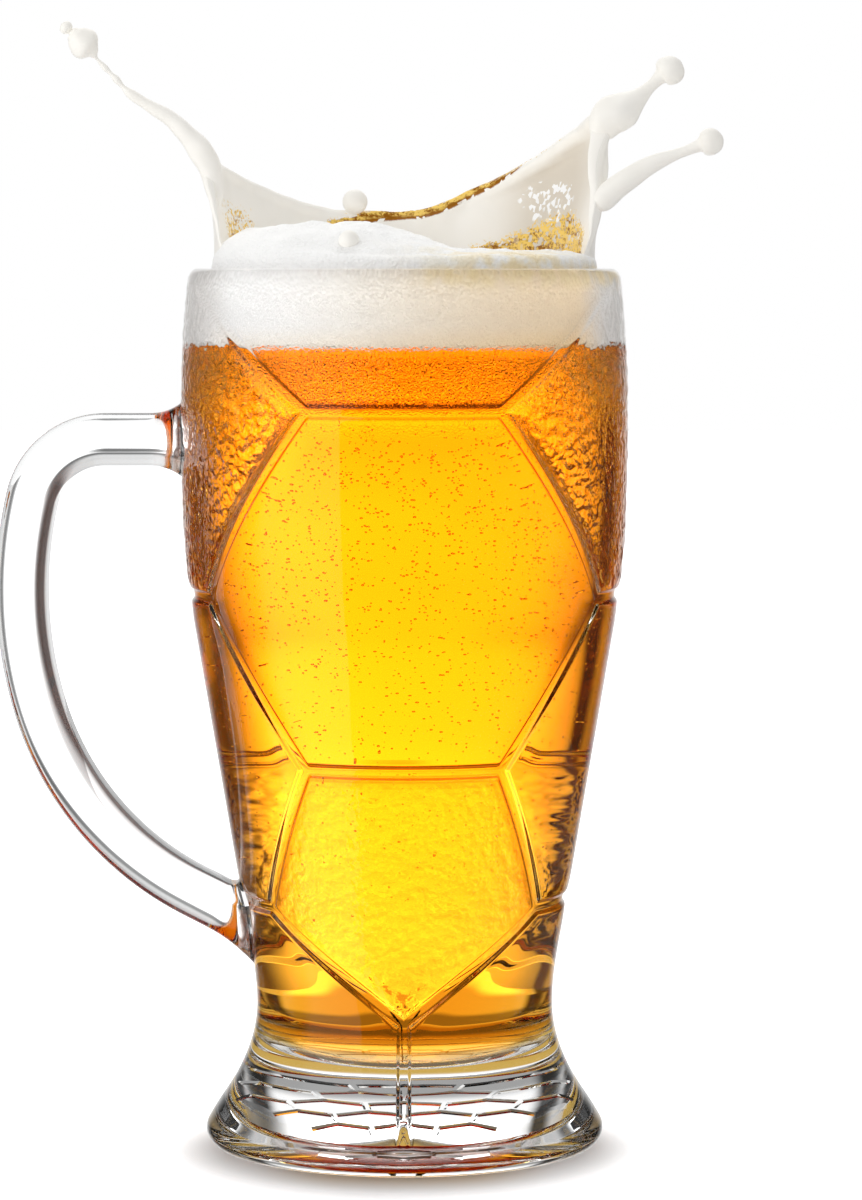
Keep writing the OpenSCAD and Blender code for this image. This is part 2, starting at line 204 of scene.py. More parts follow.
def make_piece(name, points, faces, material, body, nodes, marks=None):
    """Puts points and faces into a smooth mesh, with named values per point, on a body of the frame."""
    mesh = bpy.data.meshes.new(name)
    mesh.from_pydata((np.asarray(points) * MM).tolist(), [], faces)
    mesh.shade_smooth()
    for mark, values in (marks or {}).items():
        mesh.attributes.new(mark, "FLOAT", "POINT").data.foreach_set("value", values.astype(np.float32))
    mesh.materials.append(material)
    piece = add_object(name, mesh)
    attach(piece, body)
    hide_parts(*nodes)
    return piece


class Wire:
    """One output socket of a node tree. Arithmetic on wires adds Math nodes."""

    def __init__(self, tree, socket=None):
        self.tree = tree
        self.socket = socket

    def node(self, kind, settings=None, inputs=None, out=0):
        """Adds any node: its type, its settings, then the values or wires of its sockets."""
        made = self.tree.nodes.new(kind)
        for key, value in (settings or {}).items():
            setattr(made, key, value)
        for key, value in (inputs or {}).items():
            if isinstance(value, Wire):
                self.tree.links.new(value.socket, made.inputs[key])
            else:
                made.inputs[key].default_value = value
        return Wire(self.tree, made.outputs[out] if made.outputs else None)

    def parts(self, kind, count):
        """The first outputs of a node that takes this wire apart."""
        outputs = self.node(kind, inputs={0: self}).socket.node.outputs
        return [Wire(self.tree, outputs[k]) for k in range(count)]

    def math(self, operation, *others):
        """One Math node, with this wire first."""
        return self.node("ShaderNodeMath", {"operation": operation}, dict(enumerate((self,) + others)))

    def __add__(self, other):
        return self.math("ADD", other)

    def __sub__(self, other):
        return self.math("SUBTRACT", other)

    def __rsub__(self, other):
        return self.node("ShaderNodeMath", {"operation": "SUBTRACT"}, {0: other, 1: self})

    def __mul__(self, other):
        return self.math("MULTIPLY", other)

    def __neg__(self):
        return self.math("MULTIPLY", -1)

    __radd__ = __add__
    __rmul__ = __mul__

    def rise(self, low, high):
        """0 below low, 1 above high, smooth between."""
        settings = {"interpolation_type": "SMOOTHSTEP"}
        return self.node("ShaderNodeMapRange", settings, {0: self, 1: low, 2: high})

    def between(self, low, high):
        """Value that goes from low to high as this one goes from 0 to 1."""
        return low + (high - low) * self

    def blend(self, first, second):
        """Colour that goes from the first to the second as this value goes from 0 to 1."""
        settings = {"data_type": "RGBA"}
        return self.node("ShaderNodeMix", settings, {0: self, 6: first, 7: second}, out=2)


def new_tree(name):
    """An empty material and a wire to build its nodes from."""
    material = bpy.data.materials.new(name)
    material.use_nodes = True
    material.node_tree.nodes.clear()
    return material, Wire(material.node_tree)


def show(start, surface, **more):
    """Ends a material's tree in its output."""
    start.node("ShaderNodeOutputMaterial", inputs={"Surface": surface, **more})


def object_place(start):
    """Object coordinates, in metres."""
    return start.node("ShaderNodeTexCoord", out="Object")


def place_parts(start):
    """The three object coordinates, as wires."""
    return object_place(start).parts("ShaderNodeSeparateXYZ", 3)


def mark_of(start, name):
    """The value that a mesh keeps at each point under a name."""
    return start.node("ShaderNodeAttribute", {"attribute_name": name}, out="Fac")


def noise(start, scale, detail=2.0, roughness=0.5, place=None):
    """Cloudy noise of a scale in features per metre."""
    inputs = {"Scale": scale, "Detail": detail, "Roughness": roughness}
    return start.node("ShaderNodeTexNoise", inputs={"Vector": place or object_place(start), **inputs})


def cells(start, scale, out="Distance"):
    """Distance to the nearest of scattered points, or its colour, with a scale in points per metre."""
    inputs = {"Vector": object_place(start), "Scale": scale}
    return start.node("ShaderNodeTexVoronoi", inputs=inputs, out=out)


def random_cells(start, scale):
    """Two random values from 0 to 1, each even within small cells, of a scale in cells per metre."""
    return cells(start, scale, out="Color").parts("ShaderNodeSeparateColor", 2)


def bump(start, height, depth, strength=1.0):
    """Normal of a surface raised by a height of 0 to 1, with its full depth in metres."""
    return start.node("ShaderNodeBump", inputs={"Height": height, "Distance": depth, "Strength": strength})


# Finishes: colours, scales per metre and depths in metres
WHITE = (1, 1, 1, 1)
BLACK = (0, 0, 0, 1)
GLASS_TINT = (0.985, 0.99, 0.99, 1)
GLASS_INDEX = 1.5
GLASS_RELIEF = 0.0005
WAVE_SCALE = 45
WAVE_SHARE = 0.35
PEBBLE_SCALE = 560
GRAIN_SCALE = 2200
GRAIN_SHARE = 0.28
BEER_INDEX = 1.34
BEER_LEAVES = (0.984, 0.76, 0.05, 1)
BEER_DENSITY = 100.0
FIZZ_SCALE = 2400
FIZZ_FROM = (0.142, 0.156)
FIZZ_RELIEF = 0.00025


def clear_surface(start, tint, index, relief, mirrors=WHITE):
    """A smooth clear shader: its tint, its index, its relief and the tint of what it mirrors."""
    return start.node("ShaderNodeBsdfPrincipled", inputs={
        "Base Color": tint,
        "Roughness": 0.0,
        "IOR": index,
        "Specular Tint": mirrors,
        "Transmission Weight": 1.0,
        "Normal": relief,
    })


def mould_waves(start):
    """Faint waves that the mould leaves in the glass."""
    return noise(start, WAVE_SCALE, 1.0) * WAVE_SHARE


def pressed_glass():
    """Clear soda-lime glass: faint waves from the mould, with pebbles and fine grains where marked."""
    material, start = new_tree("pressed_glass")
    pebbles = mark_of(start, "pebble") * noise(start, PEBBLE_SCALE, 1.5, 0.45)
    grains = mark_of(start, "grain") * (1 - cells(start, GRAIN_SCALE))
    height = pebbles + GRAIN_SHARE * grains + mould_waves(start)
    show(start, clear_surface(start, GLASS_TINT, GLASS_INDEX, bump(start, height, GLASS_RELIEF)))
    return material


def wetted_glass():
    """The same glass where beer wets it, so that it hardly mirrors at that side."""
    material, start = new_tree("wetted_glass")
    relief = bump(start, mould_waves(start), GLASS_RELIEF)
    show(start, clear_surface(start, WHITE, GLASS_INDEX, relief, BLACK))
    return material


def amber_beer():
    """Clear amber liquid that takes up blue and green light, grainy with fine bubbles under the head."""
    material, start = new_tree("amber_beer")
    _, _, z = place_parts(start)
    relief = bump(start, z.rise(*FIZZ_FROM) * cells(start, FIZZ_SCALE), FIZZ_RELIEF)
    inputs = {"Color": BEER_LEAVES, "Density": BEER_DENSITY}
    volume = start.node("ShaderNodeVolumeAbsorption", inputs=inputs)
    show(start, clear_surface(start, WHITE, BEER_INDEX, relief, BLACK), Volume=volume)
    return material


FOAM_WHITE = (0.97, 0.965, 0.95, 1)
FOAM_CREAM_AND_SHADE = (0.96, 0.70, 0.40, 1)
FOAM_GOLD = (0.90, 0.74, 0.44, 1)
FOAM_PAINTED_SIDE_SHADE = (0.74, 0.72, 0.70, 1)
FOAM_PAINTED_UNDER_SHADE = (0.55, 0.42, 0.25, 1)
FOAM_CELLS = 1500
FOAM_RELIEF = 0.0005
FROTH_SCALE = 260
FROTH_WASHED = (0.28, 0.62)
CREAM_AND_SHADE_ACROSS = (-0.032, 0.034)
CREAM_AND_SHADE_SHARE = 0.75
PAINTED_SIDE_SHADE_FROM = (0.031, 0.037)
IN_MUG = ((MUG_H - 2) * MM, (MUG_H + 1) * MM)
NEAR_BEER = ((BEER_Z - 0.5) * MM, (BEER_Z + 5) * MM)
ON_BEER = ((BEER_Z - 0.15) * MM, BEER_Z * MM)


def white_foam():
    """Fine wet foam: white at left, cream and painted warm shade rightwards and near beer, golden where
    washed.
    """
    material, start = new_tree("white_foam")
    x, _, z = place_parts(start)
    froth = noise(start, FROTH_SCALE, 3.0)
    inside = 1 - z.rise(*IN_MUG)
    low = 1 - z.rise(*NEAR_BEER)
    # Cream where beer shows through thinner foam, with painted warm shade, to the right and near the beer.
    cream_and_shade = inside * (CREAM_AND_SHADE_SHARE * x.rise(*CREAM_AND_SHADE_ACROSS) + (1 - CREAM_AND_SHADE_SHARE) * low)
    washed = mark_of(start, "gold") * froth.rise(*FROTH_WASHED)
    # Painted shade: the head turns grey towards its left and right sides inside the glass.
    aside = inside * x.math("ABSOLUTE").rise(*PAINTED_SIDE_SHADE_FROM)
    # Painted shade: the head's underside over the beer is dark amber.
    under = 1 - z.rise(*ON_BEER)
    colour = aside.blend(cream_and_shade.blend(FOAM_WHITE, FOAM_CREAM_AND_SHADE), FOAM_PAINTED_SIDE_SHADE)
    show(start, start.node("ShaderNodeBsdfPrincipled", inputs={
        "Base Color": under.blend(washed.blend(colour, FOAM_GOLD), FOAM_PAINTED_UNDER_SHADE),
        "Roughness": 0.55 - 0.35 * washed,
        "IOR": BEER_INDEX,
        "Subsurface Weight": 0.25,
        "Subsurface Radius": (0.002, 0.002, 0.002),
        "Subsurface Scale": 1.0,
        "Normal": bump(start, cells(start, FOAM_CELLS) + 1.5 * froth, FOAM_RELIEF, 0.5),
    }))
    return material


MILK_PALE = (0.985, 0.965, 0.92, 1)
MILK_WARM = (0.965, 0.935, 0.87, 1)
MILK_SHADE = (0.72, 0.655, 0.56, 1)
BEER_GOLD = (0.96, 0.66, 0.16, 1)
BEER_DARK = (0.32, 0.12, 0.01, 1)
STREAK_SCALE = 120
COARSE_SCALE = 1050
FINE_SCALE = 2400
FLOW_SCALE = 190
FLOW_STRETCH = (1, 1, 4)
FLOW_RELIEF = 0.0004
SPECKS = (0.84, 0.88)
SPECKS_END = (0.82, 0.95)
PAINTED_GLINTS = (0.5, 0.58)
GOLD_FROM = (0.02, 0.12)
GOLD_EDGE = (0.35, 0.65)
GOLD_DEPTH = (0.36, 0.64)


def splashed_foam():
    """Milky foam thrown up in sheets and jets: white rims, painted beige shade in the hollows, and beer
    in gold and dark grains.

    The mesh marks where the beer shows and runs deep, where the sheet gets painted shade and where
    painted white glints go. The beer's edge is ragged by grains and streaks, less where it runs deep.
    """
    material, start = new_tree("splashed_foam")
    streaks = noise(start, STREAK_SCALE, 3.0)
    one, two = random_cells(start, COARSE_SCALE)
    fine, _ = random_cells(start, FINE_SCALE)
    gold = mark_of(start, "gold")
    deep = mark_of(start, "deep")
    calm = 1 - 0.85 * deep.rise(0.0, 0.5)
    ragged = gold + calm * (0.3 * (one - 0.5) + 0.6 * (streaks - 0.5) + 0.5 * (fine - 0.5))
    specks = one.rise(*SPECKS) * (1 - gold.rise(*SPECKS_END))
    golden = gold.rise(*GOLD_FROM) * ragged.rise(*GOLD_EDGE) * (1 - specks)
    # Painted glints: white, smoother spots where the mesh marks them.
    painted_glint = (mark_of(start, "painted_glint") * one).rise(*PAINTED_GLINTS)
    # Painted shade: the sheet turns beige below its roll where the mesh marks it.
    sheet = mark_of(start, "shade").blend(streaks.blend(MILK_PALE, MILK_WARM), MILK_SHADE)
    foam = start.node("ShaderNodeBsdfPrincipled", inputs={
        "Base Color": painted_glint.blend(sheet, WHITE),
        "Roughness": 0.3 - 0.2 * painted_glint,
        "IOR": BEER_INDEX,
    })
    along = start.node("ShaderNodeMapping", inputs={0: object_place(start), 3: FLOW_STRETCH})
    flow = noise(start, FLOW_SCALE, place=along)
    depth = 0.12 * two + flow + 0.3 * calm * (fine - 0.5) - 0.3 * deep
    beer = start.node("ShaderNodeBsdfPrincipled", inputs={
        "Base Color": depth.rise(*GOLD_DEPTH).blend(BEER_DARK, BEER_GOLD),
        "Roughness": 0.1,
        "IOR": BEER_INDEX,
        "Normal": bump(start, flow + 0.3 * cells(start, COARSE_SCALE), FLOW_RELIEF, 0.7),
    })
    show(start, start.node("ShaderNodeMixShader", inputs={0: golden, 1: foam, 2: beer}))
    return material


PRESSED_GLASS = pressed_glass()
WETTED_GLASS = wetted_glass()
AMBER_BEER = amber_beer()
WHITE_FOAM = white_foam()
SPLASHED_FOAM = splashed_foam()


# Glass body: one mesh for the bowl and the foot, which the real glass has in one piece
COLUMN_STEP = 0.34
FRONT_COLUMNS = 40
SIDE_COLUMNS = 44
LEAST_ANGLE = 3.0
ROWS_PER_MM = 0.95
SEAM_ROWS = 1.9
SEAM_ROWS_REACH = 1.9
SEAM_DEPTH = 0.9
SEAM_FLAT = 0.75
SEAM_HALF = 1.5
SEAM_ROUND = 0.25
SEAM_ROUND_WIDE = 3.0
SEAM_FADE = (166, 171)
POINT_FADE = 4.0
PEBBLE_H = 0.07
PEBBLE_SIZE = 2.8
PEBBLE_CLEAR = (1.5, 3.2)
PEBBLE_TOP = (171, 174)
LOWER_PEBBLES = 0.4
GRAIN_CLEAR = (1.2, 2.2)
GRAIN_TOP = (168, 172)
DRIP_H = 0.7
DRIP_SPREAD = 1.1
DEGREE = np.radians(1)


def quarter_columns(zigzag, r):
    """Angles of one quarter's columns for each row, from 0 to 90, crowded at the zigzag seam.

    Distances from the seam grow as a hyperbolic sine, whose stretch makes the first step COLUMN_STEP.
    """
    per_degree = DEGREE * r

    def spread(width, count):
        ratio = np.maximum(width / (count * COLUMN_STEP), 1)
        stretch = np.full_like(ratio, 3.0)
        for _ in range(60):
            stretch = np.arcsinh(ratio * stretch)
        stretch = np.maximum(stretch, 1e-3)[:, None]
        share = np.linspace(0, 1, count + 1)
        return width[:, None] * np.sinh(stretch * share) / np.sinh(stretch)

    front = zigzag[:, None] - spread(zigzag * per_degree, FRONT_COLUMNS) / per_degree[:, None]
    side = zigzag[:, None] + spread((90 - zigzag) * per_degree, SIDE_COLUMNS) / per_degree[:, None]
    return np.concatenate([front[:, ::-1], side[:, 1:]], 1)


def all_columns(quarter):
    """The four quarters' columns in turn, each the mirror of the one before, without repeats."""
    forth, back = quarter[:, :-1], quarter[:, :0:-1]
    return np.concatenate([forth, 180 - back, 180 + forth, 360 - back], 1)


def seam_distance(folded, z, r):
    """Distance over the glass from a place, its angle folded into one quarter, to the nearest seam."""
    per_degree = DEGREE * r
    nearest = np.full(np.broadcast(folded, z).shape, 99.0)
    for (a0, z0), (a1, z1) in SEAMS:
        across, up = (folded - a0) * per_degree, z - z0
        run, rise = (a1 - a0) * per_degree, z1 - z0
        t = np.clip((across * run + up * rise) / (run ** 2 + rise ** 2), 0, 1)
        nearest = np.minimum(nearest, np.hypot(across - t * run, up - t * rise))
    return nearest


def seam_rows():
    """Heights of the outside's rows: about a millimetre apart, and a third of that at level seams."""
    fine = np.linspace(OUTSIDE[0, 0], LIP_Z, 6000)
    density = np.full_like(fine, ROWS_PER_MM)
    for _, z in (SEAM_TOP, SEAM_SIDE, SEAM_LOW, SEAM_HIP, SEAM_POINT):
        density += SEAM_ROWS * hump(fine, z, SEAM_ROWS_REACH, 4)
    count = np.cumsum(density) * (fine[1] - fine[0])
    return np.interp(np.arange(int(count[-1]) + 1) * count[-1] / int(count[-1]), count, fine)


def body_outline():
    """Runs of the body's outline, as distances from the axis and heights.

    They go from the hollow under the foot, over the toe, up the outside, over the lip and down inside.
    """
    outer_z = seam_rows()
    dry_z = np.linspace(LIP_Z, BEER_Z, 5)[:-1]
    wet_z = np.linspace(BEER_Z, WALL_Z, 30)
    return [
        (np.linspace(REST_R - CEILING, REST_R, 4)[:-1], np.linspace(CEILING, 0, 4)[:-1]),
        (np.linspace(REST_R, TOE_R, 4)[:-1], np.zeros(3)),
        arc(TOE_R, FOOT_ROUND, FOOT_ROUND, -90, 22, 9),
        (radius(OUTSIDE, outer_z), outer_z),
        arc(RIM_R - LIP_ROUND, LIP_Z, LIP_ROUND, 20, 90, 7),
        arc(MOUTH_R + LIP_ROUND, LIP_Z, LIP_ROUND, 100, 165, 6),
        (radius(INSIDE, dry_z), dry_z),
        (radius(INSIDE, wet_z), wet_z),
        arc(CORNER_R - BOTTOM_ROUND, WALL_Z, BOTTOM_ROUND, -10, -88, 9),
        (np.array([11.0, 5.0]), np.array([BOTTOM_Z, BOTTOM_Z])),
    ]


def body_relief(angle, across, level, zigzag):
    """How far the outside stands out from its outline, and how strong its pebbles and its grains are.

    Seams are sunk with flat floors and round shoulders. They die away near the rim and, at the back, round
    the low point. Panels beside them rise in pebbles, and a drip stands at the tail's foot.
    """
    folded = np.abs((angle + 180) % 360 - 180)
    folded = np.minimum(folded, 180 - folded)
    aside = folded * across * DEGREE
    distance = seam_distance(folded, level, across)
    sunk = 1 - smooth_step(SEAM_FLAT, SEAM_HALF, distance)
    shoulder = SEAM_ROUND * hump(distance, 0, SEAM_ROUND_WIDE)
    behind = np.cos(np.radians(angle)) < 0
    near_point = behind * hump(np.hypot(aside, level - SEAM_POINT[1]), 0, POINT_FADE, 4)
    shown = (1 - smooth_step(*SEAM_FADE, level)) * (1 - near_point)
    upper_panel = (folded > zigzag) & (level > SEAM_SIDE[1])
    lower_panel = (folded < zigzag) & (level > SEAM_POINT[1]) & (level < SEAM_LOW[1])
    front_panel = (folded < zigzag) & (level > SEAM_TOP[1])
    pebble = (upper_panel + LOWER_PEBBLES * lower_panel) * smooth_step(*PEBBLE_CLEAR, distance)
    pebble = pebble * (1 - smooth_step(*PEBBLE_TOP, level))
    grain = front_panel * smooth_step(*GRAIN_CLEAR, distance) * (1 - smooth_step(*GRAIN_TOP, level))
    lumps = ripple(around(angle, across, level), PEBBLE_SIZE, seed=4)
    drip = DRIP_H * np.exp(-(aside ** 2 + (level - SEAM_TAIL[1]) ** 2) / DRIP_SPREAD)
    sink = shown * ((SEAM_DEPTH - SEAM_ROUND) * sunk + shoulder)
    return PEBBLE_H * pebble * lumps - sink + drip, pebble, grain


def wet_faces(piece, wet):
    """Gives marked faces of a glass piece the wetted glass. The piece casts no shadow."""
    piece.data.materials.append(WETTED_GLASS)
    piece.data.polygons.foreach_set("material_index", wet.astype(np.int32))
    piece.visible_shadow = False


def glass_body():
    """Outline turned round the axis, with its relief along the outside's normal.

    The third and fourth runs are the outside, and those after the seventh lie below the beer's level. They
    are wetted, and so is the outside where the handle is fused to it.
    """
    runs = body_outline()
    ends = np.cumsum([len(r) for r, _ in runs])
    r = np.concatenate([r for r, _ in runs])
    z = np.concatenate([z for _, z in runs])
    row = np.arange(len(r))
    outer = (row >= ends[1]) & (row < ends[3])
    zigzag = np.interp(z, [h for _, h in ZIGZAG], [a for a, _ in ZIGZAG])
    zigzag = np.where(row < ends[3], np.maximum(zigzag, LEAST_ANGLE), SEAM_RIM[0])
    angle = all_columns(quarter_columns(zigzag, r))
    columns = angle.shape[1]
    across, level, outside = r[:, None], z[:, None], outer[:, None]
    relief = body_relief(angle, across, level, zigzag[:, None])
    out, pebble, grain = (outside * values for values in relief)
    lean = np.gradient(radius(OUTSIDE, z), z + 1e-6 * row)
    lean = np.where(outer & (z > OUTSIDE[0, 0]), lean, 0)[:, None]
    push = out / np.sqrt(1 + lean ** 2)
    points = around(angle, across + push, level - push * lean)

    pole = len(r) * columns
    faces = grid_faces(len(r), columns)
    faces += pole_faces(columns, (len(r) - 1) * columns, pole, above=True)
    under_points, under_faces = foot_lattice(points[0], pole + 1)
    all_points = np.concatenate([points.reshape(-1, 3), [[0, 0, BOTTOM_Z]], under_points])
    plain = np.zeros(1 + len(under_points))
    marks = {"pebble": np.concatenate([pebble.reshape(-1), plain]),
             "grain": np.concatenate([grain.reshape(-1), plain])}
    piece = make_piece("glass_body", all_points, faces + under_faces, PRESSED_GLASS,
                       "mug", ["bowl", "foot"], marks)
    number = np.arange(len(piece.data.polygons))
    wet = (number >= ends[6] * columns) & (number < len(faces))
    fused = np.zeros(angle.shape, bool)
    for joint_z, tall in joints_on_glass():
        wide = (angle - 270) * DEGREE * across / (JOINT_HALF_W * GRIP_W)
        fused |= outside & (np.hypot(wide, (level - joint_z) / tall) < 1)
    wet[:fused.size] |= fused.reshape(-1)
    piece.data.polygons.foreach_set("use_smooth", number < len(faces))
    wet_faces(piece, wet)


def foot_lattice(ring, first):
    """Hollow under the foot: a flat disc with hexagon pads, the lines between them sunk upwards.

    Each pad's edge is a hexagon at the pad's level inside a slightly larger one at the lines' level.
    """
    rows = math.ceil(REST_R / CELL)
    i, j = np.meshgrid(np.arange(-rows, rows + 1), np.arange(-rows, rows + 1))
    centres = CELL * np.stack([i + j / 2, j * math.sqrt(3) / 2], -1).reshape(-1, 2)
    centres = centres[np.hypot(*centres.T) + CELL / math.sqrt(3) < REST_R - CEILING]
    turn = np.radians(30 + 60 * np.arange(6))
    hexagon = np.stack([np.cos(turn), np.sin(turn)], -1)
    pad_r = (CELL - CELL_GAP) / math.sqrt(3)
    low = (centres[:, None] + (pad_r - CELL_BEVEL) * hexagon).reshape(-1, 2)
    high = (centres[:, None] + pad_r * hexagon).reshape(-1, 2)
    flat = np.concatenate([ring[:, :2], low, high])
    heights = np.full(len(flat), CEILING)
    heights[len(ring):len(ring) + len(low)] = HOLLOW

    def loops(start, count, size):
        a = start + np.arange(count * size).reshape(count, size)
        return np.stack([a, np.roll(a, -1, 1)], -1).reshape(-1, 2).tolist()

    edges = loops(0, 1, len(ring))
    edges += loops(len(ring), 2 * len(centres), 6)
    made = delaunay_2d_cdt([Vector(p) for p in flat.tolist()], edges, [], 0, 1e-6, True)
    source = np.array([ids[0] for ids in made[3]])
    number = np.where(source < len(ring), source, source - len(ring) + first)
    faces = [[int(number[k]) for k in face[::-1]] for face in made[2]]
    points = np.concatenate([flat, heights[:, None]], 1)[len(ring):]
    return points, faces


# Handle: a solid rod bent through three arcs, with flared ends fused to the bowl
HANDLE_Z = 141.6
GRIP_T = 10.4
GRIP_W = 13.0
GRIP_CUT = 2.6
ARM_L = 8.6
BENDS = ((15.2, 76.9, 28), (82.0, 29.8, 20), (61.5, 46.0, 24))
SEAL_L = 6.5
SEAL_FLARE = 0.45
SEAL_POWER = 2.4
SEAL_SUNK = 0.3
JOINT_HALF_W = 0.5 * (1 + SEAL_FLARE)
CAP_RINGS = 4


def grip_section(count=96, blur=1.2):
    """Outline across the rod: half an ellipse and two chamfers, resampled evenly and blurred round."""
    x, y = GRIP_T / 2, GRIP_W / 2
    a = np.radians(np.linspace(-90, 90, 41))
    waist = x - GRIP_CUT
    corner = [[-x, y - GRIP_CUT], [-x, GRIP_CUT - y]]
    outline = np.concatenate([np.stack([-waist + (x + waist) * np.cos(a), y * np.sin(a)], -1), corner])
    loop = np.concatenate([outline, outline[:1]])
    length = np.concatenate([[0], np.cumsum(np.hypot(*np.diff(loop, axis=0).T))])
    spots = np.linspace(0, length[-1], count, endpoint=False)
    even = np.stack([np.interp(spots, length, loop[:, k]) for k in (0, 1)], -1)
    weight = hump(np.minimum(np.arange(count), count - np.arange(count)), 0, blur)
    spectrum = np.fft.fft(weight / weight.sum())[:, None]
    return np.real(np.fft.ifft(np.fft.fft(even, axis=0) * spectrum, axis=0))


def handle_line():
    """Places along the rod's centre line as rows of x, z and heading: 0 runs out along -X, 90 down."""
    x = -float(radius(OUTSIDE, HANDLE_Z)) - SEAL_L
    line = [np.array([[x, HANDLE_Z, 0.0]]), np.array([[x - ARM_L / 2, HANDLE_Z, 0.0]])]
    x, z, heading = x - ARM_L, HANDLE_Z, 0.0
    for r, turn, steps in BENDS:
        h = np.radians(heading + np.linspace(0, turn, steps + 1))
        bend_x = x + r * (math.sin(h[0]) - np.sin(h))
        bend_z = z - r * (math.cos(h[0]) - np.cos(h))
        line.append(np.stack([bend_x, bend_z, np.degrees(h)], -1)[:-1])
        x, z, heading = bend_x[-1], bend_z[-1], heading + turn
    line.append(np.array([[x, z, heading]]))
    ahead = np.radians(heading)
    reach = 0.0
    for _ in range(12):
        gap = -(x - reach * math.cos(ahead)) - float(radius(OUTSIDE, z - reach * math.sin(ahead)))
        reach += gap / -math.cos(ahead)
    run = reach - SEAL_L
    line.append(np.array([[x - run * math.cos(ahead), z - run * math.sin(ahead), heading]]))
    return np.concatenate(line)


def joints_on_glass():
    """Heights of the handle's two joints on the glass, each with half of its height there."""
    _, z, heading = handle_line()[-1]
    turn = math.radians(heading)
    tall = JOINT_HALF_W * GRIP_T
    return [(HANDLE_Z, tall), (z - SEAL_L * math.sin(turn), tall / abs(math.cos(turn)))]


def grip_rings(places, section, size=1.0):
    """The section, grown by a size, set square to the centre line at each place."""
    x, z, heading = (places[:, k, None] for k in range(3))
    turn = np.radians(heading)
    out, wide = size * section[:, 0], size * section[:, 1]
    ring_x = x - out * np.sin(turn)
    return np.stack([ring_x, np.broadcast_to(wide, ring_x.shape), z + out * np.cos(turn)], -1)


def flared_end(place, section):
    """Rings of a flared joint from the rod towards the glass, then a cap that follows the glass.

    Each point runs along the heading until it is SEAL_SUNK inside the bowl's outside, and the section
    grows with the share of that way to the power SEAL_POWER.
    """
    turn = math.radians(place[2])
    ahead = np.array([-math.cos(turn), 0, -math.sin(turn)])
    shares = np.concatenate([np.linspace(0, 1, 12)[1:], np.ones(CAP_RINGS)])
    sizes = 1 + SEAL_FLARE * shares ** SEAL_POWER
    sizes[-CAP_RINGS:] *= np.linspace(0.75, 0.05, CAP_RINGS)
    rings = []
    for share, size in zip(shares, sizes):
        ring = grip_rings(np.array([place]), section, size)[0]
        way = np.full(len(ring), SEAL_L)
        for _ in range(20):
            spot = ring + way[:, None] * ahead
            deep = np.hypot(spot[:, 0], spot[:, 1]) - radius(OUTSIDE, spot[:, 2]) + SEAL_SUNK
            way += deep / max(abs(math.cos(turn)), 0.5)
        rings.append(ring + share * way[:, None] * ahead)
    return np.array(rings)


def glass_handle():
    """The rod's section carried along its centre line, closed by a flared end at each side."""
    section = grip_section()
    line = handle_line()
    first = line[0].copy()
    first[2] = 180.0
    upper = flared_end(first, section * np.array([-1, 1]))[::-1]
    lower = flared_end(line[-1], section)
    rows = np.concatenate([upper, grip_rings(line, section), lower])
    points, faces = closed_grid(rows)
    marks = {"pebble": np.zeros(len(points))}
    nodes = ["handle", "upper_handle_seal", "lower_handle_seal"]
    piece = make_piece("glass_handle", points, faces, PRESSED_GLASS, "mug", nodes, marks)
    number = np.arange(len(faces))
    strips = len(rows) - 1
    row = np.where(number < strips * len(section), number // len(section), 0)
    wet_faces(piece, (row < CAP_RINGS) | (row >= strips - CAP_RINGS))


# Beer
BEER_COLUMNS = 160
BUBBLES = 6000
BUBBLE_R = (0.08, 0.23)
BUBBLE_LOW = 40
BUBBLE_CLEAR = 2
BUBBLE_CROWD = 0.42
BUBBLE_DEPTH = (0.4, 9)


def small_ball():
    """Unit ball of 20 faces: an icosahedron, whose corners are the turns of (0, 1, golden ratio)."""
    golden = (1 + math.sqrt(5)) / 2
    corners = [[0, a, b * golden] for a in (-1, 1) for b in (-1, 1)]
    points = np.array(corners + [c[1:] + c[:1] for c in corners] + [c[2:] + c[:2] for c in corners])
    gap = np.linalg.norm(points[:, None] - points[None], axis=-1)
    near = np.abs(gap - 2) < 0.1
    a, b, c = np.nonzero(near[:, :, None] & near[None] & near[:, None, :])
    faces = np.stack([a, b, c], -1)
    turn = np.einsum("ij,ij->i", np.cross(points[b] - points[a], points[c] - points[a]), points[a])
    return points / np.linalg.norm(points[0]), faces[(a < b) & (a < c) & (turn > 0)]


